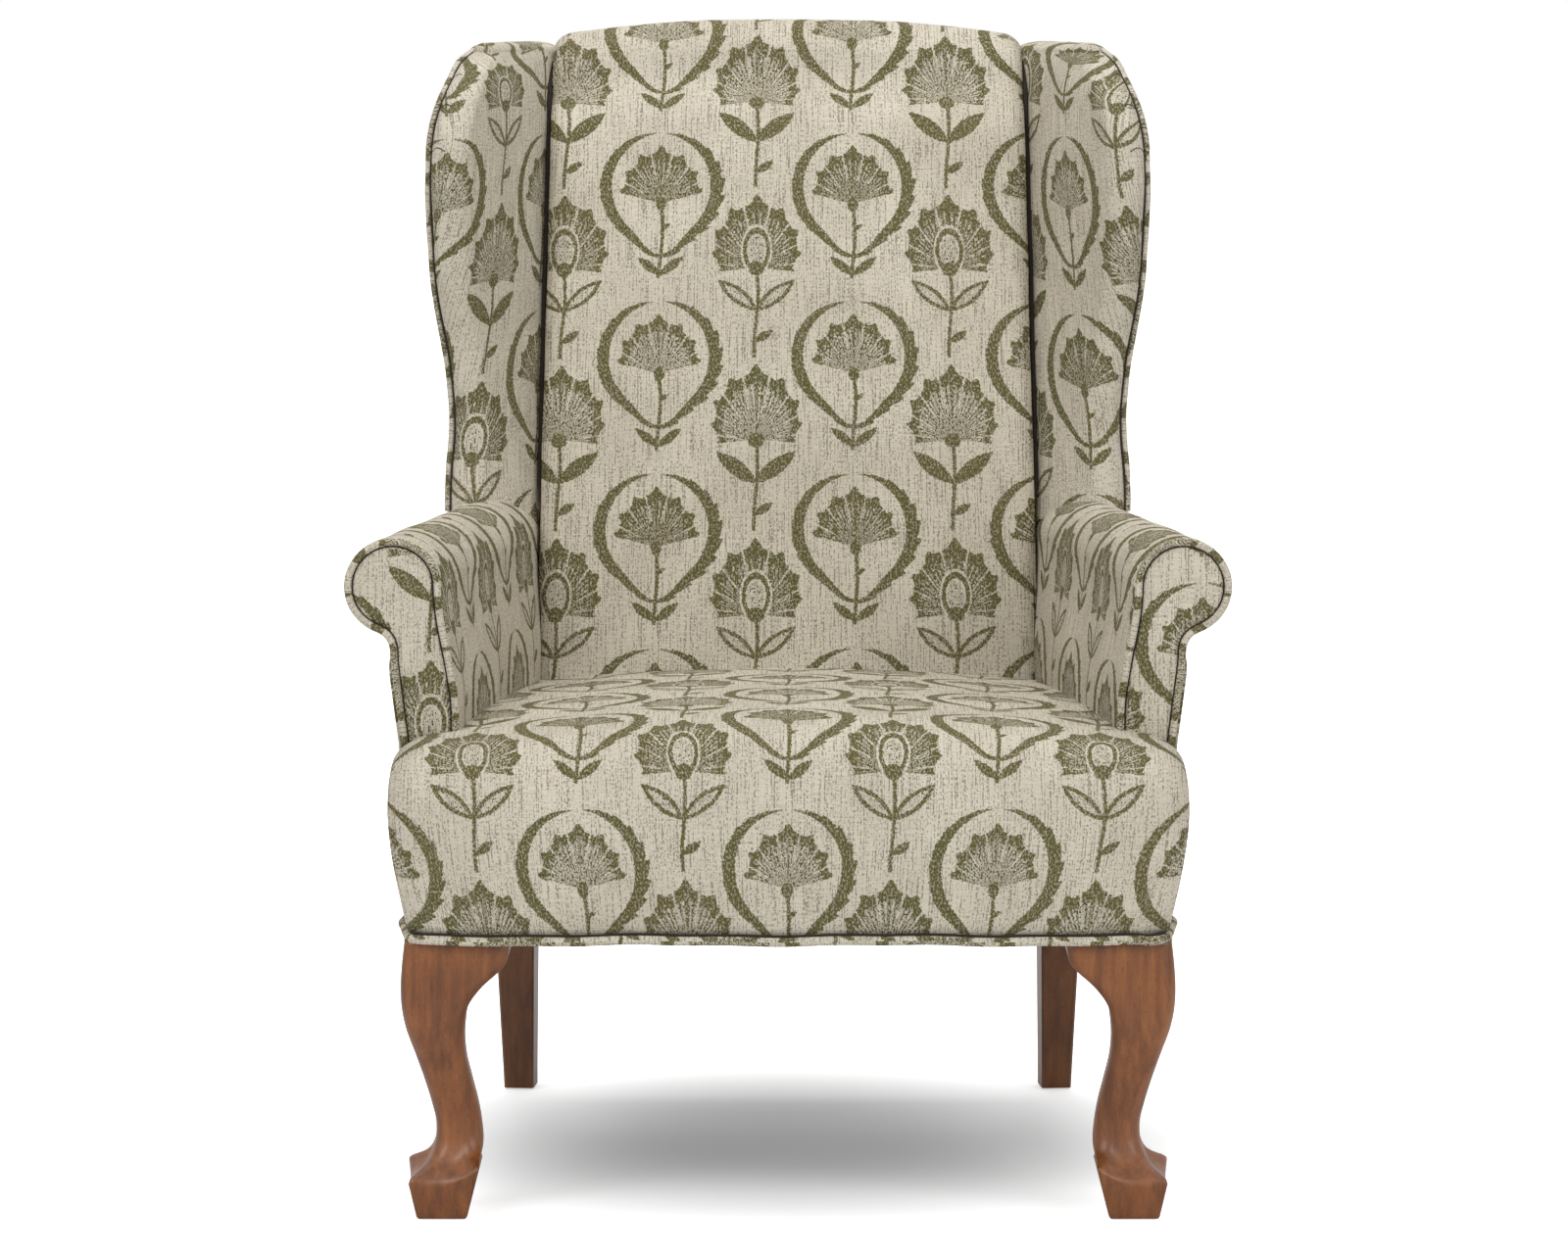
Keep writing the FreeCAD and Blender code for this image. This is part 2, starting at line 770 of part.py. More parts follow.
def build():
    parts = {}

    def pair(name, shape):
        parts[name + "_right"] = shape
        parts[name + "_left"] = mirrored(shape)

    front_rail, side_rail, back_rail, block_y, rear_face = seat_rails()
    post = back_post(rear_face)
    top_rail, lower_rail = back_rails(post)
    scroll, stump, arm_rail, tack_rail = arm_frame(post)
    zone = structure_zone(frame_top)
    wing_wood = wing_frame(zone)
    front_block, rear_block = corner_blocks(block_y, rear_face, side_rail)
    legs = {"front": front_leg(), "rear": rear_leg()}

    # Leg fixings
    bolt_x = side_x(block_y) - rail_setback - wood - bolt_share * block_leg
    bolt_y = block_y + bolt_share * block_leg
    bolt_top = frame_bottom + block_height + bolt_above_block
    front_bolt = rod(V(bolt_x, bolt_y, leg_top - bolt_in_leg), V(0, 0, 1), bolt_radius,
                     bolt_top - leg_top + bolt_in_leg)
    post_x = 0.5 * (rear_leg_top_x[0] + rear_leg_top_x[1])
    post_y = 0.5 * (rear_leg_top_y[0] + rear_leg_top_y[1])
    rear_bolt = rod(V(post_x, post_y, leg_top - bolt_in_leg), V(0, 0, 1), bolt_radius,
                    bolt_in_leg + dust_cloth + bolt_in_post)
    nut = rod(V(bolt_x, bolt_y, frame_bottom + block_height), V(0, 0, 1), nut_radius, nut_height)
    nut = nut.cut(front_bolt)
    sleeve = rod(V(post_x, post_y, frame_bottom), V(0, 0, 1), insert_radius, insert_length)
    insert = sleeve.cut(rear_bolt)
    foot_x = 0.5 * (foot_bottom[0] + foot_bottom[1])
    foot_y = -foot_x - leg_depth_shift
    rear_foot_x = 0.5 * (rear_leg_foot_x[0] + rear_leg_foot_x[1])
    rear_foot_y = 0.5 * (rear_leg_foot_y[0] + rear_leg_foot_y[1])
    front_glide, rear_glide = glide(foot_x, foot_y), glide(rear_foot_x, rear_foot_y)
    pair("front_leg", cut_all(legs["front"], [front_bolt, front_glide]))
    pair("rear_leg", cut_all(legs["rear"], [rear_bolt, rear_glide]))
    both = [front_glide, rear_glide, mirrored(front_glide), mirrored(rear_glide)]
    parts["leg_glides"] = group(both)
    bolts = [front_bolt, rear_bolt, mirrored(front_bolt), mirrored(rear_bolt)]
    parts["leg_hanger_bolts"] = group(bolts)
    parts["leg_nuts"] = group([nut, mirrored(nut)])
    parts["leg_inserts"] = group([insert, mirrored(insert)])

    # Dowels and block screws, which are drilled through the members that they join
    dowels, screws = [], []

    def add_dowels(x, y, z, direction, spread):
        for side in (-0.5, 0.5):
            place = V(x, y, z) + spread * (side * dowel_spacing) - direction * (0.5 * dowel_length)
            dowels.append(rod(place, direction, dowel_radius, dowel_length))

    along_x, along_y, along_z = V(1, 0, 0), V(0, 1, 0), V(0, 0, 1)
    rail_mid_z = 0.5 * (frame_bottom + rail_top)
    rail_x = side_x(block_y) - rail_setback - 0.5 * wood
    rear_rail_x = side_x(rear_face) - 0.5 * wood
    add_dowels(rail_x - front_dowel_in, block_y, rail_mid_z, along_y, along_z)
    add_dowels(rear_rail_x - rear_dowel_in, rear_face, rail_mid_z, along_y, along_z)
    add_dowels(post_inner_x, rear_face + 0.5 * wood, rail_mid_z + cross_dowel_lift, along_x, along_z)
    low = frame_top - 0.5 * back_top_rail_height
    inner_top = post_inner_x + (post_inner_top_x - post_inner_x) * (low - rail_top) / (frame_top - rail_top)
    dowels.append(rod(V(inner_top - 0.5 * dowel_length, web_y(low) + top_dowel_depth, low), along_x,
                      dowel_radius, dowel_length))
    post_share = (lower_rail_z - rail_top) / (frame_top - rail_top)
    low_x = post_inner_x + (post_inner_top_x - post_inner_x) * post_share
    low_z = lower_rail_z + 0.5 * lower_rail_height
    dowels.append(rod(V(low_x - 0.5 * dowel_length, web_y(low_z) + lower_dowel_depth, low_z), along_x,
                      dowel_radius, dowel_length))
    stump_x = arm_post_x() + 0.5 * arm_post_width
    stump_y = arm_front_y + scroll_board + 0.5 * arm_post_depth
    dowels.append(rod(V(stump_x, stump_y, rail_top - 0.5 * dowel_length), along_z,
                      dowel_radius, dowel_length))
    middle_z = frame_bottom + 0.5 * block_height
    screw_x = bolt_x - bolt_share * block_leg
    for z in (middle_z - screw_half_spacing, middle_z + screw_half_spacing):
        screws.append(rod(V(screw_x, block_y - screw_in_rail, z), along_y, screw_radius, screw_length))
        rear_start = V(post_inner_x - rear_screw_in, rear_face + screw_in_rail - screw_length, z)
        screws.append(rod(rear_start, along_y, screw_radius, screw_length))

    fixings = dowels + screws + [mirrored(s) for s in dowels + screws] + bolts
    parts["frame_dowels"] = group(dowels + [mirrored(s) for s in dowels])
    parts["corner_block_screws"] = group(screws + [mirrored(s) for s in screws])
    parts["seat_front_rail"] = cut_all(front_rail, fixings)
    parts["seat_back_rail"] = cut_all(back_rail, fixings)
    pair("seat_side_rail", cut_all(side_rail, dowels))
    pair("back_post", cut_all(post, dowels + [rear_bolt, sleeve]))
    parts["back_top_rail"] = cut_all(top_rail, fixings)
    parts["back_lower_rail"] = cut_all(lower_rail, fixings)
    pair("arm_post", cut_all(stump, dowels))
    pair("arm_scroll_board", scroll)
    pair("arm_top_rail", arm_rail)
    pair("arm_tack_rail", tack_rail)
    pair("wing_board", wing_wood)
    block_cuts = screws + [front_bolt]
    front_block, rear_block = cut_all(front_block, block_cuts), cut_all(rear_block, block_cuts)
    parts["corner_blocks"] = group([front_block, rear_block, mirrored(front_block), mirrored(rear_block)])

    # Springs, webbing and linings
    first = block_y - 0.5 * wood
    last = rear_face + 0.5 * wood
    places = [(index - 0.5 * (spring_count - 1)) * spring_spacing for index in range(spring_count)]
    springs, clips = [], []
    for x in places:
        springs.append(spring(x, first, last))
        clips.append(clip(x, first, 1))
        clips.append(clip(x, last, -1))
    parts["seat_springs"] = group(springs)
    parts["spring_clips"] = group(clips)
    pad_front, pad_rear = first - 0.5 * clip_depth, rear_face - gap
    pad_front_x = arm_inner_front_x - insulator_front_in
    pad_rear_x = arm_inner_x(pad_rear) - insulator_rear_in
    pad_plan = [(-pad_front_x, pad_front), (pad_front_x, pad_front), (pad_rear_x, pad_rear),
                (-pad_rear_x, pad_rear)]
    parts["seat_insulator"] = prism(pad_plan, spring_roof, pad_top)
    spring_room = prism(pad_plan, rail_top - cut_margin, pad_top)
    base_block = prism([
        (-front_rail.BoundBox.XMax, front_rail.BoundBox.YMin),
        (front_rail.BoundBox.XMax, front_rail.BoundBox.YMin),
        (front_rail.BoundBox.XMax, rear_y(rail_top)), (-front_rail.BoundBox.XMax, rear_y(rail_top)),
    ], 0.0, rail_top)
    straps = []
    strap_low = back_bottom + strap_margins[0]
    strap_high = frame_top - back_top_rail_height - strap_margins[1]
    strap_pitch = (strap_high - strap_low - strap_height) / (strap_count - 1)
    for index in range(strap_count):
        z0 = strap_low + index * strap_pitch
        z1 = z0 + strap_height
        straps.append(profile_along_x([
            (web_y(z0) + pad_cloth, z0), (web_y(z0) + 2 * pad_cloth, z0),
            (web_y(z1) + 2 * pad_cloth, z1), (web_y(z1) + pad_cloth, z1),
        ], -strap_half_length, strap_half_length))
    arm_rails = [arm_rail, mirrored(arm_rail)]
    straps = [cut_all(strap, arm_rails) for strap in straps]
    parts["back_webbing"] = group(straps)
    sheet_low = back_bottom + back_sheet_margins[0]
    sheet_high = frame_top - back_sheet_margins[1]
    sheet = profile_along_x([
        (web_y(sheet_low), sheet_low), (web_y(sheet_low) + pad_cloth, sheet_low),
        (web_y(sheet_high) + pad_cloth, sheet_high), (web_y(sheet_high), sheet_high),
    ], -back_half_top, back_half_top)
    parts["back_insulator"] = sheet

    # Forms that the covers and foams share
    back_cutter = back_form(-gap)
    arm_cutter = arm_form(-gap)
    arm_space = arm_zone()
    arm_spaces = [arm_space, mirrored(arm_space)]
    arm_inner, wing_inner = arm_form(cloth, inner_form_run), wing_form(cloth, inner_form_run)
    back_inner, seat_inner = back_form(cloth), seat_form(cloth)
    below_frame = below(frame_bottom)
    seat_tail = box(-beyond, beyond, back_seat_y - seat_cover_tuck, beyond, 0.0, back_bottom)
    before_arm = box(0.0, beyond, -beyond, arm_front_y, 0.0, arm_height)
    rear_space = behind(cloth + gap, crest_height)
    plate_high = roll_centre_z - roll_radius - plate_top_drop

    # Foams
    side_rails = [side_rail, mirrored(side_rail)]
    seat_foam = cut_all(seat_inner, arm_spaces + side_rails + [
        back_cutter, base_block, spring_room, below_frame])
    parts["seat_foam"] = largest(seat_foam)
    parts["back_foam"] = largest(back_inner.cut(zone))
    arm_foam = cut_all(arm_inner, [
        below(rail_top), before_arm, back_cutter, zone, scroll, stump, arm_rail, tack_rail, wing_wood])
    pair("arm_foam", largest(arm_foam))
    wing_foam = cut_all(wing_inner, [back_cutter, arm_cutter, zone, rear_space, wing_wood])
    pair("wing_foam", largest(wing_foam))

    # Covers
    seat_skin = seat_form().cut(seat_inner)
    seat_cover = cut_all(seat_skin, arm_spaces + side_rails + [
        back_cutter, seat_tail, below_frame, base_block])
    parts["seat_cover"] = largest(seat_cover)
    back_skin = back_form().cut(back_inner)
    parts["inside_back_cover"] = largest(cut_all(back_skin, [zone, below(back_bottom + cloth)]))
    narrow_zone = structure_zone(frame_top, strap_half_length)
    arm_skin = cut_all(arm_form(), [arm_inner, back_cutter, wing_wood, post, rear_space, narrow_zone])
    roll_line = []
    for back in under_roll_range:
        y = arm_front_y + back
        roll_line.append((roll_at(y)[0] - under_roll_in, y))
    under_roll = prism(roll_line + [(beyond, roll_line[1][1]), (beyond, roll_line[0][1])],
                       0.0, plate_high)
    pair("arm_inside_cover", largest(arm_skin.cut(under_roll)))
    face = Part.Face(arm_section(arm_front_y - facing, 0.0, rail_top))
    pair("arm_front_panel", face.extrude(V(0, facing, 0)))

    def side_plate(z):
        rear = rear_y(z) - cloth - gap
        return polygon([V(side_x(arm_front_y), arm_front_y, z), V(side_x(rear), rear, z),
                        V(side_x(rear) - cloth, rear, z), V(side_x(arm_front_y) - cloth, arm_front_y, z)])

    plate = loft([side_plate(frame_bottom), side_plate(plate_high)], True)
    pair("arm_outside_cover", plate)

    def rear_plate(z):
        y = rear_y(z)
        x = side_x(y)
        return polygon([V(-x, y, z), V(x, y, z), V(x, y - cloth, z), V(-x, y - cloth, z)])

    plate_ends = [rear_plate(frame_bottom), rear_plate(crest_height - back_plate_drop)]
    parts["outside_back_cover"] = loft(plate_ends, True)

    outer_zone = []
    for row in wing_profile:
        z, centre, crease, corner, inward, outward, radius = wing_station(row[0])
        seam = centre + outward * (radius - wing_seam_depth)
        rear = corner + V(*wing_seam_rear, 0)
        front_reach, rear_reach = wing_seam_reach
        far_rear = rear + V(rear_reach, 0, 0)
        outer_zone.append(polygon([seam, seam + outward * front_reach, far_rear, rear]))
    outer_zone = loft(outer_zone, True)
    wing_skin = cut_all(wing_form(), [wing_inner, back_cutter, arm_cutter])
    pair("wing_inside_cover", largest(wing_skin.cut(outer_zone)))
    pair("wing_outside_cover", largest(wing_skin.common(outer_zone)))

    # Welts
    seam_points = []
    for row in wing_profile[1:]:
        z, centre, crease, corner, inward, outward, radius = wing_station(row[0])
        seam_points.append(centre + outward * (radius + welt_radius + welt_gap))
    wing_welt = tube(seam_points, welt_radius, path_directions(seam_points)).cut(arm_cutter)
    pair("wing_welt", largest(wing_welt))
    welt_y = arm_front_y - facing - welt_radius - gap
    route = arm_outline(welt_y, welt_radius, seat_height - welt_tuck)
    start = route[0].Vertexes[0].Point
    ring = Part.Wire(Part.makeCircle(welt_radius, start, V(0, 0, 1)))
    pair("arm_front_welt", Part.Wire(route).makePipeShell([ring], True, True))
    parts["base_welt"] = base_welt()

    # Dust cover, with room for the bolts
    front_half = side_front_x - dust_cloth_inset
    rear_half = side_x(rear_bottom_y) - dust_cloth_inset
    front_edge, rear_edge = seat_front_y + dust_cloth_inset, rear_bottom_y - dust_cloth_inset
    cloth_plan = [(-front_half, front_edge), (front_half, front_edge), (rear_half, rear_edge),
                  (-rear_half, rear_edge)]
    parts["dust_cover"] = cut_all(prism(cloth_plan, frame_bottom - dust_cloth, frame_bottom), bolts)
    return parts


def base_welt():
    """A round cord along the lower edge, in straight runs joined by tangent arcs."""
    out = base_welt_radius + gap
    z = frame_bottom
    front = seat_front_y - out - base_welt_front_out
    rear = rear_bottom_y + out + base_welt_side_out
    right = [V(seat_half_width - base_welt_ear_in + out, front, z),
             V(side_x(arm_front_y) + out + base_welt_side_out, arm_front_y, z),
             V(side_x(rear_bottom_y) + out, rear, z)]
    corners = list(zip(right, base_welt_turns))
    corners += [(V(-corner.x, corner.y, z), radius) for corner, radius in corners[::-1]]
    start = V(0, front, z)
    edges = []
    here = start
    points = [start] + [c for c, r in corners] + [start]
    for before, (corner, radius), after in zip(points, corners, points[2:]):
        a = (before - corner).normalize()
        b = (after - corner).normalize()
        half = 0.5 * a.getAngle(b)
        reach = radius / math.tan(half)
        bisector = (a + b).normalize()
        middle = corner + bisector * (radius / math.sin(half) - radius)
        edges.append(line(here, corner + a * reach))
        edges.append(arc(corner + a * reach, middle, corner + b * reach))
        here = corner + b * reach
    edges.append(line(here, start))
    ring = Part.Wire(Part.makeCircle(base_welt_radius, start, V(1, 0, 0)))
    return Part.Wire(edges).makePipeShell([ring], True, True)


def main():
    parts = build()
    whole = group(list(parts.values())).optimalBoundingBox(False, False)
    shift = V(0, -0.5 * (whole.YMin + whole.YMax), 0)
    os.makedirs("parts", exist_ok=True)
    for name in sorted(parts):
        shape = parts[name].copy()
        shape.translate(shift)
        shape.exportStep("parts/" + name + ".step")
        kinds = (len(shape.Solids), shape.isValid())
        print(name, "solids", kinds[0], "valid", kinds[1], "volume", round(shape.Volume / 1000.0, 1))
    print("shift along Y", round(shift.y, 2), "size",
          round(whole.XLength, 1), round(whole.YLength, 1), round(whole.ZLength, 1))


main()
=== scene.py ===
"""Looks of the wingback armchair: covers, welts, fabric, wood, light and camera.

The forms are drawn in millimetres in the drawing frame of the part, where the arms' front is at
arm_front_y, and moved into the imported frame, in metres, when a mesh is made.
"""
import math

import bpy
import numpy as np
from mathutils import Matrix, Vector, noise
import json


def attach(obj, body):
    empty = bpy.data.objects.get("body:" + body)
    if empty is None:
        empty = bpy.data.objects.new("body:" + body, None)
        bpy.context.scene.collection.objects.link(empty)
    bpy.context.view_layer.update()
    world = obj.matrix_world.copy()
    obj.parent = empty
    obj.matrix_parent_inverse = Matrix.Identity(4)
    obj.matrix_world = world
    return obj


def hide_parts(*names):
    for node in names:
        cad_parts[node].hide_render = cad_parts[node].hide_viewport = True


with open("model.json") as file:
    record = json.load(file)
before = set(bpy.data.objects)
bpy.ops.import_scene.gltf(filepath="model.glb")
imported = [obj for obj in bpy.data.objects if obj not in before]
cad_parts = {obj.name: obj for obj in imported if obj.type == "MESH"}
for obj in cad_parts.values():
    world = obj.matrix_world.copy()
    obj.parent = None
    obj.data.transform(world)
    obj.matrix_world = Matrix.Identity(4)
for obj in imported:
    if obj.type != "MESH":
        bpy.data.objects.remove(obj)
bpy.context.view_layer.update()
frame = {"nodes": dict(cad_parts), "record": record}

MM = 0.001
shift_y = 3.25

# Driving sizes of the forms, as in the part
frame_bottom = 245.0
rail_top = 335.0
seat_height = 430.0
seat_half_width = 343.5
arm_height = 580.0
wing_height = 997.0
crest_height = 1020.0
crest_corner_drop = 15.0
seat_front_y = -392.0
arm_front_y = -285.0
seat_back_y = 150.0
side_front_x, side_rear_x = 334.0, 284.0
rear_bottom_y = 268.0
rear_rake = 130.0 / 755.0
arm_inner_front_x = 285.0
arm_inner_taper = 55.0 / 435.0
back_half_bottom, back_half_top = 236.0, 222.0
back_seat_y, back_seat_level = 140.0, 415.0
back_rake = 160.0 / 585.0
back_crown = 20.0
back_bottom = 352.0
roll_centre_z = 538.0
neck_radius = 18.0
arm_inner_curve = 113.0
cloth = 2.5
welt_radius = 3.2
base_welt_radius = 4.0
# Radius of the near-black cords of painted shade laid along the seams
seam_shadow_radius = 1.2
facing_inset = 6.4
facing_puff = 7.0
# Heights, as shares of the wing, of the thin cords of painted shade in the pleats over the wing's nose
pleat_shadow_shares = (0.925, 0.86, 0.765)

roll_profile = [(-10.0, 343.5, 42.0), (0.0, 342.0, 42.0), (220.0, 311.0, 40.5), (435.0, 278.0, 38.0),
                (620.0, 246.0, 32.0)]
wing_swell = 1.7
wing_dome_share, wing_dome_height = 0.983, 9.0
wing_profile = [
    (-0.08, 112.0, 312.0, 20.0), (0.05, 138.0, 312.0, 20.0), (0.15, 148.0, 309.0, 20.0),
    (0.29, 150.0, 313.0, 20.0), (0.45, 140.0, 324.0, 20.0), (0.60, 131.0, 328.0, 20.0),
    (0.72, 130.0, 329.0, 20.0), (0.84, 143.0, 324.0, 19.0), (0.92, 176.0, 312.0, 17.0),
    (0.97, 220.0, 301.0, 14.0), (1.00, 270.0, 285.0, 10.0),
]

# Cabriole leg: height, outer edge x, inner edge x, corner radius as a share of the width
leg_profile = [
    (243.5, 328.0, 237.0, 0.08), (221.0, 330.5, 243.0, 0.12), (203.0, 331.5, 262.0, 0.16),
    (187.0, 331.0, 273.5, 0.22), (169.0, 328.0, 277.0, 0.26), (144.0, 320.0, 276.5, 0.30),
    (120.0, 312.5, 271.5, 0.33), (100.0, 307.0, 267.0, 0.35), (80.0, 303.0, 264.0, 0.35),
    (62.0, 305.0, 263.0, 0.32), (47.0, 312.5, 264.5, 0.22), (35.0, 326.0, 267.5, 0.05),
]
leg_top, foot_high, foot_low = 243.5, 35.0, 1.5
foot_top, foot_bottom = (326.0, 267.5), (319.0, 276.0)
leg_depth_shift = 64.0

# Shoulder above the foot block: share of the way from the outer front corner inward, height
foot_shoulder = [(0.0, 34.0), (0.09, 32.0), (0.31, 31.0), (0.55, 32.0), (0.76, 36.0), (0.91, 42.0), (1.0, 47.0)]

# Fabric repeat, in millimetres of cloth
repeat_across, repeat_up = 183.0, 164.6


# Curves and tables

def smooth_rows(rows, at):
    """Rows of a table read at any place of its first column, on a smooth curve through them."""
    table = np.array(rows, float)
    at = np.atleast_1d(np.asarray(at, float))
    x, y = table[:, 0], table[:, 1:]
    slope = np.gradient(y, x, axis=0)
    index = np.clip(np.searchsorted(x, at) - 1, 0, len(x) - 2)
    span = x[index + 1] - x[index]
    t = ((at - x[index]) / span)[:, None]
    span = span[:, None]
    a, b, ma, mb = y[index], y[index + 1], slope[index], slope[index + 1]
    return ((2 * t**3 - 3 * t**2 + 1) * a + (t**3 - 2 * t**2 + t) * span * ma
            + (3 * t**2 - 2 * t**3) * b + (t**3 - t**2) * span * mb)


def spline(points, count):
    """Points spaced evenly along a smooth curve through the given ones."""
    points = np.array(points, float)
    steps = np.linalg.norm(np.diff(points, axis=0), axis=1)
    along = np.concatenate([[0.0], np.cumsum(steps)])
    dense = smooth_rows(np.column_stack([along, points]), np.linspace(0.0, along[-1], count * 6))
    return even(dense, count)


def even(points, count):
    length = arc_length(points)
    at = np.linspace(0.0, length[-1], count)
    return np.column_stack([np.interp(at, length, points[:, k]) for k in range(points.shape[1])])


def arc_length(points):
    steps = np.linalg.norm(np.diff(points, axis=0), axis=1)
    return np.concatenate([[0.0], np.cumsum(steps)])


def side_x(y):
    slope = (side_rear_x - side_front_x) / (rear_bottom_y - arm_front_y)
    return side_front_x + slope * (y - arm_front_y)


def rear_y(z):
    return rear_bottom_y + rear_rake * (z - frame_bottom)


def arm_inner_x(y):
    return arm_inner_front_x - arm_inner_taper * (y - arm_front_y)


def back_half(z):
    share = (z - back_bottom) / (crest_height - back_bottom)
    return back_half_bottom + share * (back_half_top - back_half_bottom)


def back_face_y(z):
    return back_seat_y + back_rake * (z - back_seat_level)


def round_end(distance, width, depth):
    """How far a form draws in at a distance from its end, on a quarter ellipse."""
    share = np.clip(1.0 - np.asarray(distance, float) / width, 0.0, 1.0)
    return depth * (1.0 - np.sqrt(np.maximum(0.0, 1.0 - share**2)))


def end_spaced(half, width, count_end, count_middle):
    """Places from -half to half, close together within a width of each end."""
    turn = np.linspace(0.0, 0.5 * math.pi, count_end)
    end = half - width * (1.0 - np.sin(turn))
    middle = np.linspace(-(half - width), half - width, count_middle)
    return np.concatenate([-end[::-1], middle[1:-1], end])


# Meshes

def wobble(points, size, amount):
    """Soft unevenness of hand-pulled cloth: a smooth noise of the place, the same each run."""
    flat = points.reshape(-1, 3)
    shift = np.array([noise.noise_vector(Vector(p) / size) for p in flat])
    return (flat + amount * shift).reshape(points.shape)


def make_object(name, verts, faces, loop_uvs, material):
    mesh = bpy.data.meshes.new(name)
    placed = (np.array(verts, float) + (0.0, shift_y, 0.0)) * MM
    mesh.from_pydata([tuple(p) for p in placed], [], faces)
    layer = mesh.uv_layers.new(name="cloth")
    layer.data.foreach_set("uv", (np.array(loop_uvs, float) * MM).ravel())
    mesh.update()
    mesh.shade_smooth()
    mesh.materials.append(material)
    piece = bpy.data.objects.new(name, mesh)
    bpy.context.scene.collection.objects.link(piece)
    return piece


def grid_piece(name, points, uvs, material, closed=False, caps=False, flip=False):
    """A sheet of quads through a grid of points; closed joins each row's end to its start."""
    rows, columns = points.shape[:2]
    verts = [tuple(p) for p in points.reshape(-1, 3)]
    faces, loops = [], []
    across = columns if closed else columns - 1
    for i in range(rows - 1):
        for j in range(across):
            corners = [(i, j), (i, j + 1), (i + 1, j + 1), (i + 1, j)]
            if flip:
                corners.reverse()
            faces.append([a * columns + b % columns for a, b in corners])
            loops.extend(uvs[a, b] for a, b in corners)
    if caps:
        for i, turned in ((0, flip), (rows - 1, not flip)):
            centre = points[i].mean(axis=0)
            verts.append(tuple(centre))
            middle = len(verts) - 1
            flat = np.column_stack([points[i][:, 1], points[i][:, 2]])
            flat_middle = flat.mean(axis=0)
            for j in range(columns):
                k = (j + 1) % columns
                triple = [(i * columns + j, flat[j]), (i * columns + k, flat[k]), (middle, flat_middle)]
                if not turned:
                    triple.reverse()
                faces.append([t[0] for t in triple])
                loops.extend(t[1] for t in triple)
    return make_object(name, verts, faces, loops, material)


def mirror_grid(points):
    return points * (-1.0, 1.0, 1.0)


def tube_piece(name, route, radius, material, closed=False, sides=14):
    """A round cord of cloth along a route, with its cloth wound round it."""
    route = np.array(route, float)
    count = len(route)
    if closed:
        ahead = np.roll(route, -1, axis=0) - np.roll(route, 1, axis=0)
    else:
        ahead = np.gradient(route, axis=0)
    ahead /= np.linalg.norm(ahead, axis=1)[:, None]
    normal = np.cross(ahead[0], (0.0, 0.0, 1.0))
    if np.linalg.norm(normal) < 0.2:
        normal = np.cross(ahead[0], (0.0, 1.0, 0.0))
    rings = []
    for k in range(count):
        normal = normal - ahead[k] * np.dot(normal, ahead[k])
        normal /= np.linalg.norm(normal)
        other = np.cross(ahead[k], normal)
        turn = np.linspace(0.0, 2.0 * math.pi, sides, endpoint=False)
        ring = route[k] + radius * (np.outer(np.cos(turn), normal) + np.outer(np.sin(turn), other))
        rings.append(ring)
    rings = np.array(rings)
    length = arc_length(route)
    around = np.linspace(0.0, 2.0 * math.pi * radius, sides + 1)
    uvs = np.zeros((count, sides + 1, 2))
    uvs[:, :, 0] = around[None, :]
    uvs[:, :, 1] = length[:, None]
    if closed:
        rings = np.concatenate([rings, rings[:1]])
        gap_length = np.linalg.norm(route[0] - route[-1])
        uvs = np.concatenate([uvs, uvs[-1:] + (0.0, gap_length)])
        piece = grid_piece(name, rings, uvs, material, closed=True, flip=True)
        weld(piece)
        return piece
    return grid_piece(name, rings, uvs, material, closed=True, caps=True, flip=True)


def weld(piece):
    import bmesh
    work = bmesh.new()
    work.from_mesh(piece.data)
    bmesh.ops.remove_doubles(work, verts=work.verts, dist=1e-6)
    work.to_mesh(piece.data)
    work.free()


def thicken(piece, amount):
    layer = piece.modifiers.new("thickness", "SOLIDIFY")
    layer.thickness = amount * MM
    layer.offset = -1.0


# Node expressions

class Field:
    """A number that varies over a surface: a socket that the operators join to Math nodes."""

    def __init__(self, tree, socket):
        self.tree = tree
        self.socket = socket

    def math(self, operation, *others, clamp=False):
        node = self.tree.nodes.new("ShaderNodeMath")
        node.operation = operation
        node.use_clamp = clamp
        for slot, value in zip(node.inputs, (self,) + others):
            if isinstance(value, Field):
                self.tree.links.new(value.socket, slot)
            else:
                slot.default_value = value
        return Field(self.tree, node.outputs[0])

    def __add__(self, other):
        return self.math("ADD", other)

    def __radd__(self, other):
        return self.math("ADD", other)

    def __sub__(self, other):
        return self.math("SUBTRACT", other)

    def __rsub__(self, other):
        return self.math("MULTIPLY_ADD", -1.0, other)

    def __mul__(self, other):
        return self.math("MULTIPLY", other)

    def __rmul__(self, other):
        return self.math("MULTIPLY", other)

    def __truediv__(self, other):
        return self.math("DIVIDE", other)

    def __neg__(self):
        return self.math("MULTIPLY", -1.0)

    def __abs__(self):
        return self.math("ABSOLUTE")

    def least(self, other):
        return self.math("MINIMUM", other)

    def most(self, other):
        return self.math("MAXIMUM", other)

    def wrap(self, period):
        return self.math("WRAP", 0.5 * period, -0.5 * period)

    def above(self, level):
        return self.math("GREATER_THAN", level)

    def below(self, level):
        return self.math("LESS_THAN", level)

    def ramp(self, low, high):
        """0 at low, 1 at high and beyond."""
        return (self - low).math("DIVIDE", high - low, clamp=True)


def hypot(a, b):
    return (a * a + b * b).math("SQRT")


def combine(tree, *values):
    node = tree.nodes.new("ShaderNodeCombineXYZ")
    for slot, value in zip(node.inputs, values):
        if isinstance(value, Field):
            tree.links.new(value.socket, slot)
        else:
            slot.default_value = value
    return node.outputs[0]


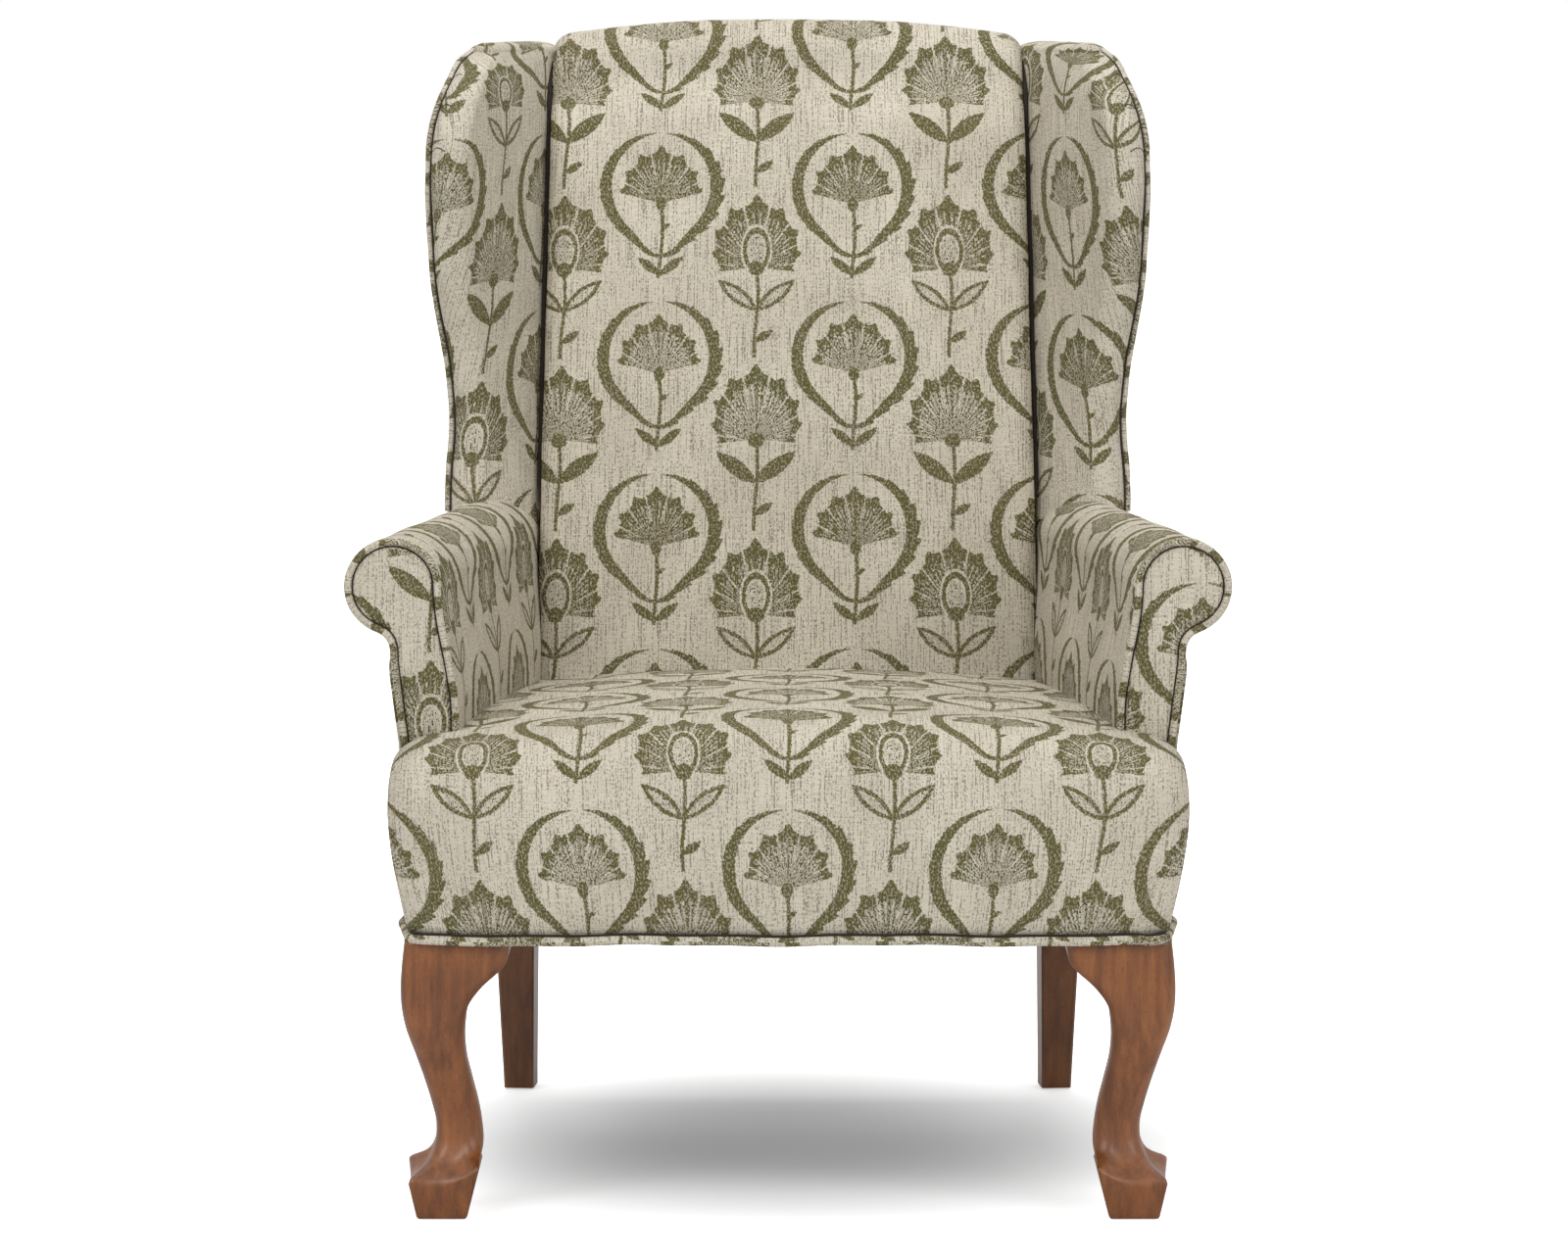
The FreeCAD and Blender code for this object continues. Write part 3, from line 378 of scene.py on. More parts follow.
def noise_field(tree, vector, scale, detail=2.0, dimensions="3D", roughness=0.5):
    node = tree.nodes.new("ShaderNodeTexNoise")
    node.noise_dimensions = dimensions
    node.inputs["Scale"].default_value = scale
    node.inputs["Detail"].default_value = detail
    node.inputs["Roughness"].default_value = roughness
    tree.links.new(vector, node.inputs["Vector"])
    return Field(tree, node.outputs[0])


def mix_colour(tree, share, first, second, blend="MIX"):
    node = tree.nodes.new("ShaderNodeMix")
    node.data_type = "RGBA"
    node.blend_type = blend
    for slot, value in ((node.inputs[0], share), (node.inputs[6], first), (node.inputs[7], second)):
        if isinstance(value, Field):
            tree.links.new(value.socket, slot)
        elif isinstance(value, bpy.types.NodeSocket):
            tree.links.new(value, slot)
        elif slot.type == "RGBA":
            slot.default_value = linear(value)
        else:
            slot.default_value = value
    return node.outputs[2]


def linear(colour):
    """A colour written as 0 to 255 screen values, as the shader's linear numbers."""
    out = []
    for part in colour:
        share = part / 255.0
        out.append(share / 12.92 if share <= 0.04045 else ((share + 0.055) / 1.055) ** 2.4)
    return (*out, 1.0)


def new_material(name):
    material = bpy.data.materials.new(name)
    material.use_nodes = True
    tree = material.node_tree
    shader = tree.nodes["Principled BSDF"]
    return material, tree, shader


def add_bump(tree, shader, height, distance, strength=1.0):
    node = tree.nodes.new("ShaderNodeBump")
    node.inputs["Distance"].default_value = distance
    node.inputs["Strength"].default_value = strength
    tree.links.new(height.socket, node.inputs["Height"])
    tree.links.new(node.outputs[0], shader.inputs["Normal"])


# Fabric: a traditional trellis of leafy wreaths and stemmed flowers, drawn by formulas

def wreath(u, v):
    """Two leafy crescents that meet at a point below and stay open above; below 0 is inside."""
    x = u.wrap(repeat_across)
    y = (v + 15.0).wrap(repeat_up) - 15.0
    r = hypot(x, y)
    turn = abs(x).math("ARCTAN2", -y)
    low = (-y / r).most(0.0)
    low = low * low
    point = low * low
    point = point * point
    centre = 52.5 + 2.0 * low + 13.0 * (point * point)
    lean = turn - 1.4
    half = 5.3 - 1.9 * (lean * lean)
    saw = (turn * 3.5).math("FRACT")
    right = x.above(0.0)
    teeth = saw * half.most(0.0) * (0.25 + 0.55 * right)
    return abs(r - centre - 0.5 * teeth) - half - 0.5 * teeth


def leaf(x, y, angle, length, width):
    """A pointed leaf that starts at the place 0, 0; below 0 is inside, about -1 in its middle."""
    c, s = math.cos(angle), math.sin(angle)
    along = x * (2.0 * c / length) + y * (2.0 * s / length) - 1.0
    aside = x * (-s / width) + y * (c / width)
    return along * along + abs(aside + 0.25 * along) - 1.0


def floral(u, v, grain):
    """How much ink lies at a place of the cloth, 0 to 1."""
    ring = wreath(u, v)
    flower = (u / repeat_across + 0.25).math("FRACT").above(0.5)
    x = u.wrap(0.5 * repeat_across)
    lift = v + 15.0 + 73.0 * flower
    y = lift.wrap(repeat_up) + 1.5 - 10.5 * flower
    other = (lift / (2.0 * repeat_up) + 0.25).math("FRACT").above(0.5)
    side = abs(x)
    r = hypot(x, y)
    turn = side.math("ARCTAN2", y)
    reach = 57.0 + 14.0 * flower - (12.5 + 8.5 * flower) * turn
    lobe = (turn * 7.5).math("COSINE").math("ABSOLUTE")
    frill = (turn * 30.0).math("COSINE")
    edge = reach * (0.81 + 0.16 * lobe.math("SQRT") + 0.035 * frill)
    share = r / edge
    spread = turn - 1.32 - 0.36 * flower
    inside = share.below(1.0) * spread.below(0.0)
    tip = share.ramp(0.72, 0.84)
    rays = ((turn * 66.0).math("SINE") + 3.0 * (grain - 0.5)).ramp(-0.4, 0.4)
    vein = lobe.ramp(0.06, 0.20).most(share.below(0.5))
    depth = 0.34 + 0.16 * other
    body = inside * (0.15 + 0.85 * vein) * (depth + 0.44 * rays).most(0.92 * tip)
    oval = hypot(x / 13.0, (y - 17.0) / 22.0)
    seed = flower * other
    band = abs(oval - 0.86)
    body = body * (1.0 - seed * oval.below(1.14))
    body = body.most(seed * band.below(0.14) * 0.9).most(seed * oval.below(0.6) * 0.36)
    calyx = hypot(x / (5.0 + 2.5 * flower), (y + 1.0) / 7.0).below(1.0)
    bent = x + 1.6 * (y / 17.0).math("SINE")
    low_end = y + 73.0 + 14.0 * flower
    stem = (abs(bent) - 1.7).below(0.0) * y.below(0.0) * low_end.above(0.0)
    grow = 1.7 - 0.7 * flower
    big = leaf(side * grow, (y + 71.0 - 27.0 * flower) * grow, 0.76, 49.0, 7.4)
    open_leaf = 1.0 - seed * (big.below(-0.5) * 0.72)
    small_grow = 1.75 - 0.75 * flower
    small = leaf(x * small_grow, (y + 27.0 + 46.0 * flower) * small_grow, 0.72, 20.0, 4.0)
    solid = ring.below(0.0).most(calyx).most(stem).most(small.below(0.0))
    solid = solid.most(big.below(0.0) * open_leaf)
    return body.most(solid * 0.92)


def cloth_material(name, turned=False):
    """Nubby linen-like cloth: slubs and streaks along the warp, with the woven floral on it."""
    material, tree, shader = new_material(name)
    source = tree.nodes.new("ShaderNodeUVMap")
    source.uv_map = "cloth"
    parts = tree.nodes.new("ShaderNodeSeparateXYZ")
    tree.links.new(source.outputs[0], parts.inputs[0])
    u = Field(tree, parts.outputs[0]) * 1000.0
    v = Field(tree, parts.outputs[1]) * 1000.0
    if turned:
        u, v = v, u
    streak = noise_field(tree, combine(tree, u * 0.75, v * 0.022, 0.0), 1.0, 2.0, "2D", 0.6)
    dash = noise_field(tree, combine(tree, u * 0.62, v * 0.40, 0.0), 1.0, 1.0, "2D")
    weft = noise_field(tree, combine(tree, u * 0.06, v * 0.8, 0.0), 1.0, 2.0, "2D", 0.6)
    warm = noise_field(tree, combine(tree, u * 0.5, v * 0.03, 7.0), 1.0, 1.0)
    broad = noise_field(tree, combine(tree, u * 0.012, v * 0.012, 3.0), 1.0, 2.0)
    lines = (streak + 0.8 * dash).ramp(0.93, 1.10)
    ground = mix_colour(tree, broad.ramp(0.35, 0.65), (214, 206, 189), (203, 195, 178))
    ground = mix_colour(tree, weft.ramp(0.48, 0.66) * 0.40, ground, (172, 163, 146))
    ground = mix_colour(tree, lines * 0.78, ground, (122, 112, 96))
    ground = mix_colour(tree, warm.ramp(0.66, 0.76) * dash.ramp(0.40, 0.60) * 0.62, ground, (150, 98, 70))
    jitter_u = noise_field(tree, combine(tree, u * 0.5, v * 0.5, 11.0), 1.0, 1.0)
    jitter_v = noise_field(tree, combine(tree, u * 0.5, v * 0.5, 19.0), 1.0, 1.0)
    ink = floral(u + 3.6 * (jitter_u - 0.5), v + 3.6 * (jitter_v - 0.5), dash)
    fleck = 0.62 * dash + 0.38 * streak
    shown = (ink * 0.27 + 0.335 - fleck).ramp(-0.03, 0.03)
    olive = mix_colour(tree, broad.ramp(0.42, 0.60), (108, 105, 68), (116, 106, 72))
    olive = mix_colour(tree, dash.ramp(0.30, 0.60), (84, 81, 51), olive)
    colour = mix_colour(tree, shown * ink.above(0.02), ground, olive)
    tree.links.new(colour, shader.inputs["Base Color"])
    shader.inputs["Roughness"].default_value = 0.92
    shader.inputs["Specular IOR Level"].default_value = 0.08
    weave = (u * 4.4).math("SINE") * 0.3 + (v * 4.4).math("SINE") * 0.3 + dash * 1.3 + weft * 0.7
    add_bump(tree, shader, weave, 0.0006, 0.55)
    return material


def wood_material(name, light, dark, scale=1.0, gloss=0.32, coat=0.15):
    """Stained hardwood with its grain along Z: soft bands and short dark pores."""
    material, tree, shader = new_material(name)
    place = tree.nodes.new("ShaderNodeTexCoord")
    parts = tree.nodes.new("ShaderNodeSeparateXYZ")
    tree.links.new(place.outputs["Object"], parts.inputs[0])
    x, y, z = (Field(tree, parts.outputs[k]) * (1000.0 * scale) for k in range(3))
    bands = noise_field(tree, combine(tree, x * 0.11, y * 0.11, z * 0.008), 1.0, 4.0, "3D", 0.6)
    pores = noise_field(tree, combine(tree, x * 1.9, y * 1.9, z * 0.14), 1.0, 2.0)
    cloud = noise_field(tree, combine(tree, x * 0.02, y * 0.02, z * 0.012), 1.0, 2.0)
    colour = mix_colour(tree, (0.65 * bands + 0.35 * cloud).ramp(0.36, 0.64), dark, light)
    colour = mix_colour(tree, pores.ramp(0.56, 0.70) * 0.55, colour, tuple(0.55 * part for part in dark))
    tree.links.new(colour, shader.inputs["Base Color"])
    shader.inputs["Specular IOR Level"].default_value = 0.45
    shader.inputs["Coat Weight"].default_value = coat
    shader.inputs["Coat Roughness"].default_value = 0.25
    rough = gloss + 0.14 * pores
    tree.links.new(rough.socket, shader.inputs["Roughness"])
    add_bump(tree, shader, pores, 0.0003, 0.35)
    return material


def plain_material(name, first, second, size, rough, metal=0.0, bump=0.0):
    """A material with a soft variation of two like colours over a size in millimetres."""
    material, tree, shader = new_material(name)
    place = tree.nodes.new("ShaderNodeTexCoord")
    speck = noise_field(tree, place.outputs["Object"], 1000.0 / size, 3.0)
    tree.links.new(mix_colour(tree, speck.ramp(0.35, 0.65), first, second), shader.inputs["Base Color"])
    shader.inputs["Roughness"].default_value = rough
    shader.inputs["Metallic"].default_value = metal
    if bump:
        add_bump(tree, shader, speck, bump, 0.5)
    return material


# Upholstered forms, right side; the left is mirrored

def dress(piece, slot, *nodes, fill=None):
    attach(piece, "root")
    if nodes:
        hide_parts(*nodes)
    return piece


def seat(material):
    """Tight seat: soft nose, crown, and T ears in front of the arms."""
    stations = end_spaced(seat_half_width, 36.0, 16, 61)
    grid, uvs = [], []
    front_count = 70
    for x in stations:
        end = float(round_end(seat_half_width - abs(x), 36.0, 26.0))
        top = seat_height - 26.0 * (x / seat_half_width) ** 2 - end
        front = seat_front_y + end
        foot = frame_bottom + 0.3 * end
        height = top - foot
        outline = spline([
            (front + 1.0, foot), (front - 4.0, foot + 0.14 * height), (front - 9.5, foot + 0.42 * height),
            (front - 7.0, top - 54.0), (front + 1.5, top - 26.0), (front + 18.0, top - 8.0),
            (front + 46.0, top - 0.5), (front + 120.0, top + 1.5), (-120.0, top + 1.0), (30.0, top - 4.0),
            (seat_back_y, top - 10.0),
        ], front_count)
        under = np.array([(seat_back_y, foot + 40.0), (-60.0, foot + 40.0), (arm_front_y - 3.0, foot + 40.0),
                          (arm_front_y - 4.0, frame_bottom + 1.0 + 0.1 * end), (front + 24.0, foot)])
        loop = np.concatenate([outline, under])
        length = arc_length(np.concatenate([loop, loop[:1]]))
        points = np.column_stack([np.full(len(loop), x), loop])
        fade = 1.0 - 0.42 * np.clip((points[:, 1] - (arm_front_y - 48.0)) / 44.0, 0.0, 1.0) ** 1.5
        narrow = 1.0 - 0.047 * fade * np.clip((354.0 - points[:, 2]) / 104.0, 0.0, 1.05) ** 1.3
        points[:, 0] *= narrow
        inner = np.maximum(0.0, points[:, 1] - (arm_front_y - 3.5))
        limit = np.where(inner > 0.0, arm_inner_x(points[:, 1]) + 6.0, 400.0)
        points[:, 0] = np.clip(points[:, 0], -limit, limit)
        grid.append(points)
        row = np.column_stack([np.full(len(length), x * 183.0 / 179.0), length - 62.0])
        uvs.append(row)
    grid = wobble(np.array(grid), 60.0, 1.2)
    piece = grid_piece("seat_upholstery", grid, np.array(uvs), material, closed=True, caps=True, flip=True)
    return dress(piece, "floral_fabric", "seat_cover", "seat_foam", fill=0.9)


def back(material):
    """Tight back: crowned across and up, with a rolled crest."""
    shares = end_spaced(1.0, 0.08, 14, 49)
    grid, uvs = [], []
    for share in shares:
        end = float(round_end(1.0 - abs(share), 0.08, 16.0))
        crest = crest_height - crest_corner_drop * abs(share) ** 2.6 - 0.8 * end

        def at(y, z):
            return share * back_half(z), y, z

        crown = back_crown * (1.0 - 0.8 * share**4)
        rows = []
        for z in (back_bottom, 420.0, 520.0, 640.0, 760.0, 860.0, 930.0):
            middle = 0.5 * (back_bottom + crest - 40.0)
            reach = 0.5 * (crest - 40.0 - back_bottom)
            bulge = crown * max(0.0, 1.0 - ((z - middle) / reach) ** 2)
            rows.append(at(back_face_y(z) + end - bulge, z))
        depth = rear_y(crest) - 3.0 - (back_face_y(crest) + end)
        face = back_face_y(crest) + end
        rows += [at(face - 3.0, crest - 48.0), at(face + 0.04 * depth, crest - 22.0),
                 at(face + 0.22 * depth, crest - 4.0), at(face + 0.5 * depth, crest),
                 at(face + 0.80 * depth, crest - 5.0), at(face + 0.97 * depth, crest - 22.0)]
        outline = spline(rows, 90)
        rear_z = np.array([crest - 60.0, 700.0, back_bottom])
        behind = np.array([at(rear_y(z) - 6.0, z) for z in rear_z])
        loop = np.concatenate([outline, behind])
        length = arc_length(np.concatenate([loop, loop[:1]]))
        grid.append(loop)
        uvs.append(np.column_stack([np.full(len(length), share * 229.0 + 121.0), length - 35.0]))
    grid = wobble(np.array(grid), 70.0, 1.0)
    piece = grid_piece("back_upholstery", grid, np.array(uvs), material, closed=True, caps=True, flip=True)
    return dress(piece, "floral_fabric", "inside_back_cover", "back_foam", fill=0.9)


def arc_points(centre, radius, start, end, count):
    turn = np.linspace(start, end, count)
    return np.column_stack([centre[0] + radius * np.cos(turn), centre[1] + radius * np.sin(turn)])


def flare(z, back):
    """How far the outside of the arm swells below its neck, fading behind the front."""
    fade = np.clip(1.0 - np.asarray(back, float) / 220.0, 0.0, 1.0) ** 2
    low = 4.0 * np.clip((z - rail_top) / 64.0, 0.0, 1.0)
    high = 9.5 * np.clip((z - 399.0) / 75.0, 0.0, 1.0)
    return fade * (low + high)


def arm_outline(y, inset, low):
    """Outline of the arm in the plane y, inner bottom over the roll to outer bottom, as x and z."""
    centre_x, radius = smooth_rows(roll_profile, y - arm_front_y)[0]
    radius -= inset
    outer = side_x(y) - 2.8 - inset
    inner = arm_inner_x(y) + inset
    neck = neck_radius + inset
    neck_x = outer + float(flare(roll_centre_z, y - arm_front_y)) + neck
    neck_z = roll_centre_z - math.sqrt((neck + radius) ** 2 - (neck_x - centre_x) ** 2)
    neck_angle = math.atan2(neck_z - roll_centre_z, neck_x - centre_x)
    curve_z = roll_centre_z - arm_inner_curve
    lean = centre_x - radius - inner
    rise = np.linspace(0.0, 1.0, 16)
    swing = rise * rise * (3.0 - 2.0 * rise)
    inner_curve = np.column_stack([inner + lean * swing, curve_z + arm_inner_curve * rise])
    inner_line = np.column_stack([np.full(8, inner), np.linspace(low, curve_z, 8)])
    roll = arc_points((centre_x, roll_centre_z), radius, math.pi, neck_angle, 56)
    neck_arc = arc_points((neck_x, neck_z), neck, neck_angle + math.pi, math.pi, 10)
    outer_z = np.linspace(neck_z, low, 14)
    outer_line = np.column_stack([outer + flare(outer_z, y - arm_front_y), outer_z])
    return np.concatenate([inner_line[:-1], inner_curve[:-1], roll, neck_arc[1:], outer_line[1:]])


def arm(side, material):
    name = "right" if side > 0 else "left"
    grid, uvs = [], []
    places = np.concatenate([[0.0, 1.0, 2.5, 5.0, 8.0], np.linspace(12.0, 600.0, 60)])
    for back_from_front in places:
        y = arm_front_y + back_from_front
        inset = float(round_end(back_from_front, 9.0, 3.0))
        outline = arm_outline(y, inset, rail_top)
        points = np.column_stack([outline[:, 0], np.full(len(outline), y), outline[:, 1]])
        reach = np.minimum(points[:, 1], rear_y(points[:, 2]) - 3.0)
        points[:, 1] = reach
        length = arc_length(np.concatenate([points, points[:1]]))
        grid.append(points)
        uvs.append(np.column_stack([np.full(len(length), 60.0 - side * back_from_front), length - 80.0]))
    grid = wobble(np.array(grid), 60.0, 0.9)
    if side < 0:
        grid = mirror_grid(grid)
    piece = grid_piece("arm_upholstery_" + name, grid, np.array(uvs), material, closed=True, caps=True,
                       flip=side > 0)
    return dress(piece, "floral_fabric", "arm_inside_cover_" + name, "arm_foam_" + name, fill=0.9)


def facing(side, material):
    """Scroll-shaped facing: a low pillow that sinks to the seam beside its welt."""
    name = "right" if side > 0 else "left"
    line = even(arm_outline(arm_front_y, facing_inset, rail_top), 400)
    top = int(np.argmax(line[:, 1]))
    heights = rail_top + (line[top, 1] - rail_top) * np.sin(np.linspace(0.0, 0.5 * math.pi, 72))
    inner = np.interp(heights, line[:top + 1, 1], line[:top + 1, 0])[:, None]
    outer = np.interp(heights, line[top:, 1][::-1], line[top:, 0][::-1])[:, None]
    across = 0.5 + 0.5 * np.sin(np.linspace(-0.5 * math.pi, 0.5 * math.pi, 45))[None, :]
    x = inner + across * (outer - inner)
    z = np.repeat(heights[:, None], x.shape[1], axis=1)
    flat = np.stack([x, z], axis=-1).reshape(-1, 2)
    to_edge = np.sqrt(((flat[:, None, :] - line[None, :, :]) ** 2).sum(axis=2)).min(axis=1).reshape(x.shape)
    sunk = np.clip(1.0 - to_edge / 15.0, 0.0, 1.0)
    y = arm_front_y + 0.5 - facing_puff * np.sqrt(1.0 - sunk**2)
    grid = wobble(np.stack([x, y, z], axis=-1), 40.0, 0.4)
    grid = grid * (side, 1.0, 1.0)
    along, up = ((-358.4, -489.0) if side > 0 else (400.5, -647.0))
    uvs = np.stack([grid[:, :, 0] + along, grid[:, :, 2] + up], axis=-1)
    piece = grid_piece("arm_facing_" + name, grid, uvs, material, flip=side < 0)
    thicken(piece, 2.0)
    return dress(piece, "floral_fabric", "arm_front_panel_" + name, fill=0.9)


def facing_route(inset, y):
    edge = arm_outline(arm_front_y, inset, 395.0)
    return even(np.column_stack([edge[:, 0], np.full(len(edge), y), edge[:, 1]]), 170)


def facing_welt(side, material, shadow):
    name = "right" if side > 0 else "left"
    route = wobble(facing_route(welt_radius, arm_front_y - 3.5), 25.0, 0.5) * (side, 1.0, 1.0)
    piece = tube_piece("arm_front_piping_" + name, route, welt_radius, material)
    dress(piece, "floral_welt", "arm_front_welt_" + name)
    # A near-black cord of painted shade along the seam, where the facing sinks beside its welt
    seam = facing_route(facing_inset + 0.3, arm_front_y - 1.9) * (side, 1.0, 1.0)
    dress(tube_piece("arm_front_seam_shadow_" + name, seam, seam_shadow_radius, shadow, sides=8), "floral_welt")


def wing_plan(share):
    """Plan points of the wing at a share of its height: nose centre, radius, crease and rear corner."""
    front, outer, radius = smooth_rows(wing_profile, share)[0]
    outer += wing_swell
    z = arm_height + share * (wing_height - arm_height)
    centre = np.array([outer - radius, front + radius])
    crease = np.array([back_half(z) - 3.0, back_face_y(z) + 40.0])
    rear = rear_y(z) - 2.8
    corner = np.array([side_x(rear), rear])
    return z, centre, radius, crease, corner


def tangent_angle(point, centre, radius, side):
    away = point - centre
    return math.atan2(away[1], away[0]) - side * math.acos(radius / math.hypot(*away))


def wing_loop(share, grow):
    """Outline of the wing in plan; grow swells the inner face."""
    z, centre, radius, crease, corner = wing_plan(share)
    inward = tangent_angle(crease, centre, radius, -1.0)
    outward = tangent_angle(corner, centre, radius, 1.0)
    while outward < inward:
        outward += 2.0 * math.pi
    nose = arc_points(centre, radius, inward, outward, 26)
    run = np.linspace(0.0, 1.0, 26)[:, None]
    inner = crease + run * (nose[0] - crease)
    normal = np.array([math.cos(inward), math.sin(inward)])
    swell = grow * np.sin(math.pi * run) ** 0.8
    inner = inner + swell * normal
    outer = nose[-1] + run * (corner - nose[-1])
    return z, inner, nose, outer


def toward_middle(plan, start, end, share):
    """Plan points drawn towards the line from start to end, to a share of their distance from it."""
    run = end - start
    along = np.clip(((plan - start) @ run) / (run @ run), 0.0, 1.0)
    foot = start + along[:, None] * run
    return foot + share * (plan - foot)


def wing(side, material):
    """Wing pad: swollen inner face, round nose, flat outside and a domed top."""
    name = "right" if side > 0 else "left"
    rise = np.linspace(0.0, 1.0, 72)
    shares = -0.08 + (wing_dome_share + 0.08) * (1.0 - (1.0 - rise) ** 1.5)
    turns = np.linspace(0.0, 0.46 * math.pi, 12)[1:]
    levels = [(share, 0.0) for share in shares] + [(wing_dome_share, turn) for turn in turns]
    grid, uvs = [], []
    before, over = None, 0.0
    for share, turn in levels:
        z, inner, nose, outer = wing_loop(share, 5.0 * max(0.0, 1.0 - share**4))
        plan = np.concatenate([inner[:-1], nose, outer[1:], [(inner[0][0], outer[-1][1])]])
        points = np.column_stack([plan, np.full(len(plan), z)])
        length = arc_length(np.concatenate([points, points[:1]]))
        if before is not None and share > 0.72 and turn == 0.0:
            step = np.array([nose[12][1], z]) - before
            over += math.hypot(*step) - step[1]
        before = np.array([nose[12][1], z])
        if turn > 0.0:
            centre = wing_plan(share)[1]
            end = 0.5 * (inner[0] + outer[-1])
            points[:, :2] = toward_middle(plan, centre, end, math.cos(turn))
            points[:, 2] += wing_dome_height * math.sin(turn)
        forward = np.clip(length / length[len(inner)], 0.0, 1.0)
        climb = over * forward * forward * (3.0 - 2.0 * forward) + 26.0 * turn
        grid.append(points)
        across = length - 106.0 if side > 0 else 209.5 - length
        uvs.append(np.column_stack([across, z - 859.6 + climb]))
    grid = wobble(np.array(grid), 60.0, 1.0) * (side, 1.0, 1.0)
    piece = grid_piece("wing_upholstery_" + name, grid, np.array(uvs), material, closed=True,
                       caps=True, flip=side < 0)
    return dress(piece, "floral_fabric", "wing_inside_cover_" + name, "wing_foam_" + name, fill=0.9)


def wing_outside(side, material):
    name = "right" if side > 0 else "left"
    shares = np.linspace(-0.06, wing_dome_share, 50)
    grid, uvs = [], []
    for share in shares:
        z, inner, nose, outer = wing_loop(share, 0.0)
        line = np.concatenate([nose[-5:], outer[1:]])
        away = np.gradient(line, axis=0)
        away /= np.linalg.norm(away, axis=1)[:, None]
        line = line + 0.6 * np.column_stack([-away[:, 1], away[:, 0]]) * -1.0
        points = np.column_stack([line, np.full(len(line), z)])
        grid.append(points)
        uvs.append(np.column_stack([side * arc_length(points) + 40.0, np.full(len(line), z)]))
    grid = np.array(grid)
    if side < 0:
        grid = mirror_grid(grid)
    piece = grid_piece("wing_outside_" + name, grid, np.array(uvs), material, flip=side < 0)
    thicken(piece, 2.0)
    return dress(piece, "floral_fabric", "wing_outside_cover_" + name)


def nose_place(share, lean, lift):
    """A place on the wing's nose, turned by lean from the outside seam and lifted off the cloth."""
    z, centre, radius, crease, corner = wing_plan(share)
    turn = tangent_angle(corner, centre, radius, 1.0) - lean
    reach = radius + lift
    return centre[0] + reach * math.cos(turn), centre[1] + reach * math.sin(turn), z


def wing_welt(side, material, shadow):
    name = "right" if side > 0 else "left"
    mirror = (side, 1.0, 1.0)
    shares = np.linspace(-0.03, wing_dome_share, 90)
    route = [nose_place(share, 0.30, 1.9) for share in shares]
    x, y, z = route[-1]
    route += [(x - 4.0, y + 9.0, z + 3.2), (x - 10.0, y + 20.0, z + 4.6), (x - 16.0, y + 32.0, z + 3.0)]
    route = wobble(even(np.array(route), 170), 25.0, 0.5) * mirror
    piece = tube_piece("wing_piping_" + name, route, welt_radius, material)
    dress(piece, "floral_welt", "wing_welt_" + name)
    # A near-black cord of painted shade along the seam behind the welt on the wing's nose
    seam = np.array([nose_place(share, 0.55, 0.3) for share in shares]) * mirror
    dress(tube_piece("wing_seam_shadow_" + name, even(seam, 150), seam_shadow_radius, shadow, sides=8), "floral_welt")
    # Short dark cords of painted shade in the pleats over the nose
    for k, share in enumerate(pleat_shadow_shares):
        turns = np.linspace(0.55, 1.25 + 0.12 * k, 12)
        fold = [nose_place(share + 0.012 * math.sin(3.0 * (turn - 0.55)), turn, 0.1) for turn in turns]
        fold = even(np.array(fold), 14) * mirror
        dress(tube_piece("wing_pleat_%d_%s" % (k + 1, name), fold, 0.55, shadow, sides=6), "floral_welt")


def crease_line(side, shadow):
    """Painted shadow: a dark cord laid in the deep crease where the back meets the arm and the wing."""
    name = "right" if side > 0 else "left"
    route = []
    for z in np.linspace(425.0, 985.0, 60):
        rise = float(np.clip((z - 545.0) / 45.0, 0.0, 1.0))
        low = (arm_inner_x(back_face_y(z) + 6.0) + 0.6, back_face_y(z) + 6.0)
        high = (back_half(z) + 2.4, back_face_y(z) + 19.0 + 16.0 * max(0.0, (z - 950.0) / 35.0))
        route.append((low[0] + rise * (high[0] - low[0]), low[1] + rise * (high[1] - low[1]), z))
    route = even(np.array(route), 80) * (side, 1.0, 1.0)
    dress(tube_piece("back_crease_shadow_" + name, route, 2.3, shadow, sides=8), "floral_welt")


def outside_panel(side, material):
    """Outer panel below the arm roll."""
    name = "right" if side > 0 else "left"
    grid, uvs = [], []
    for z in np.linspace(frame_bottom, roll_centre_z - 58.0, 34):
        rear = rear_y(z) - 2.8
        run = np.linspace(0.0, 1.0, 60)
        y = arm_front_y + run * (rear - arm_front_y)
        puff = 1.8 * np.sin(math.pi * run) ** 0.5
        tuck = 3.0 * max(0.0, (z - (roll_centre_z - 74.0)) / 16.0)
        x = side_x(y) - 0.4 + puff * 0.6 + flare(z, y - arm_front_y) - tuck
        grid.append(np.column_stack([x, y, np.full(len(y), z)]))
        uvs.append(np.column_stack([side * y, np.full(len(y), z)]))
    grid = np.array(grid) * (side, 1.0, 1.0)
    piece = grid_piece("arm_outside_" + name, grid, np.array(uvs), material, flip=side < 0)
    thicken(piece, 2.2)
    return dress(piece, "floral_fabric", "arm_outside_cover_" + name)


def outside_back(material):
    grid, uvs = [], []
    for z in np.linspace(frame_bottom, crest_height - 30.0, 70):
        y = rear_y(z)
        half = side_x(y)
        run = np.linspace(-1.0, 1.0, 70)
        puff = 2.0 * np.maximum(0.0, 1.0 - run**8)
        grid.append(np.column_stack([run * half, y - 1.2 + puff * 0.8, np.full(len(run), z)]))
        uvs.append(np.column_stack([-run * half, np.full(len(run), z)]))
    piece = grid_piece("back_outside", np.array(grid), np.array(uvs), material, flip=False)
    thicken(piece, 2.2)
    return dress(piece, "floral_fabric", "outside_back_cover")


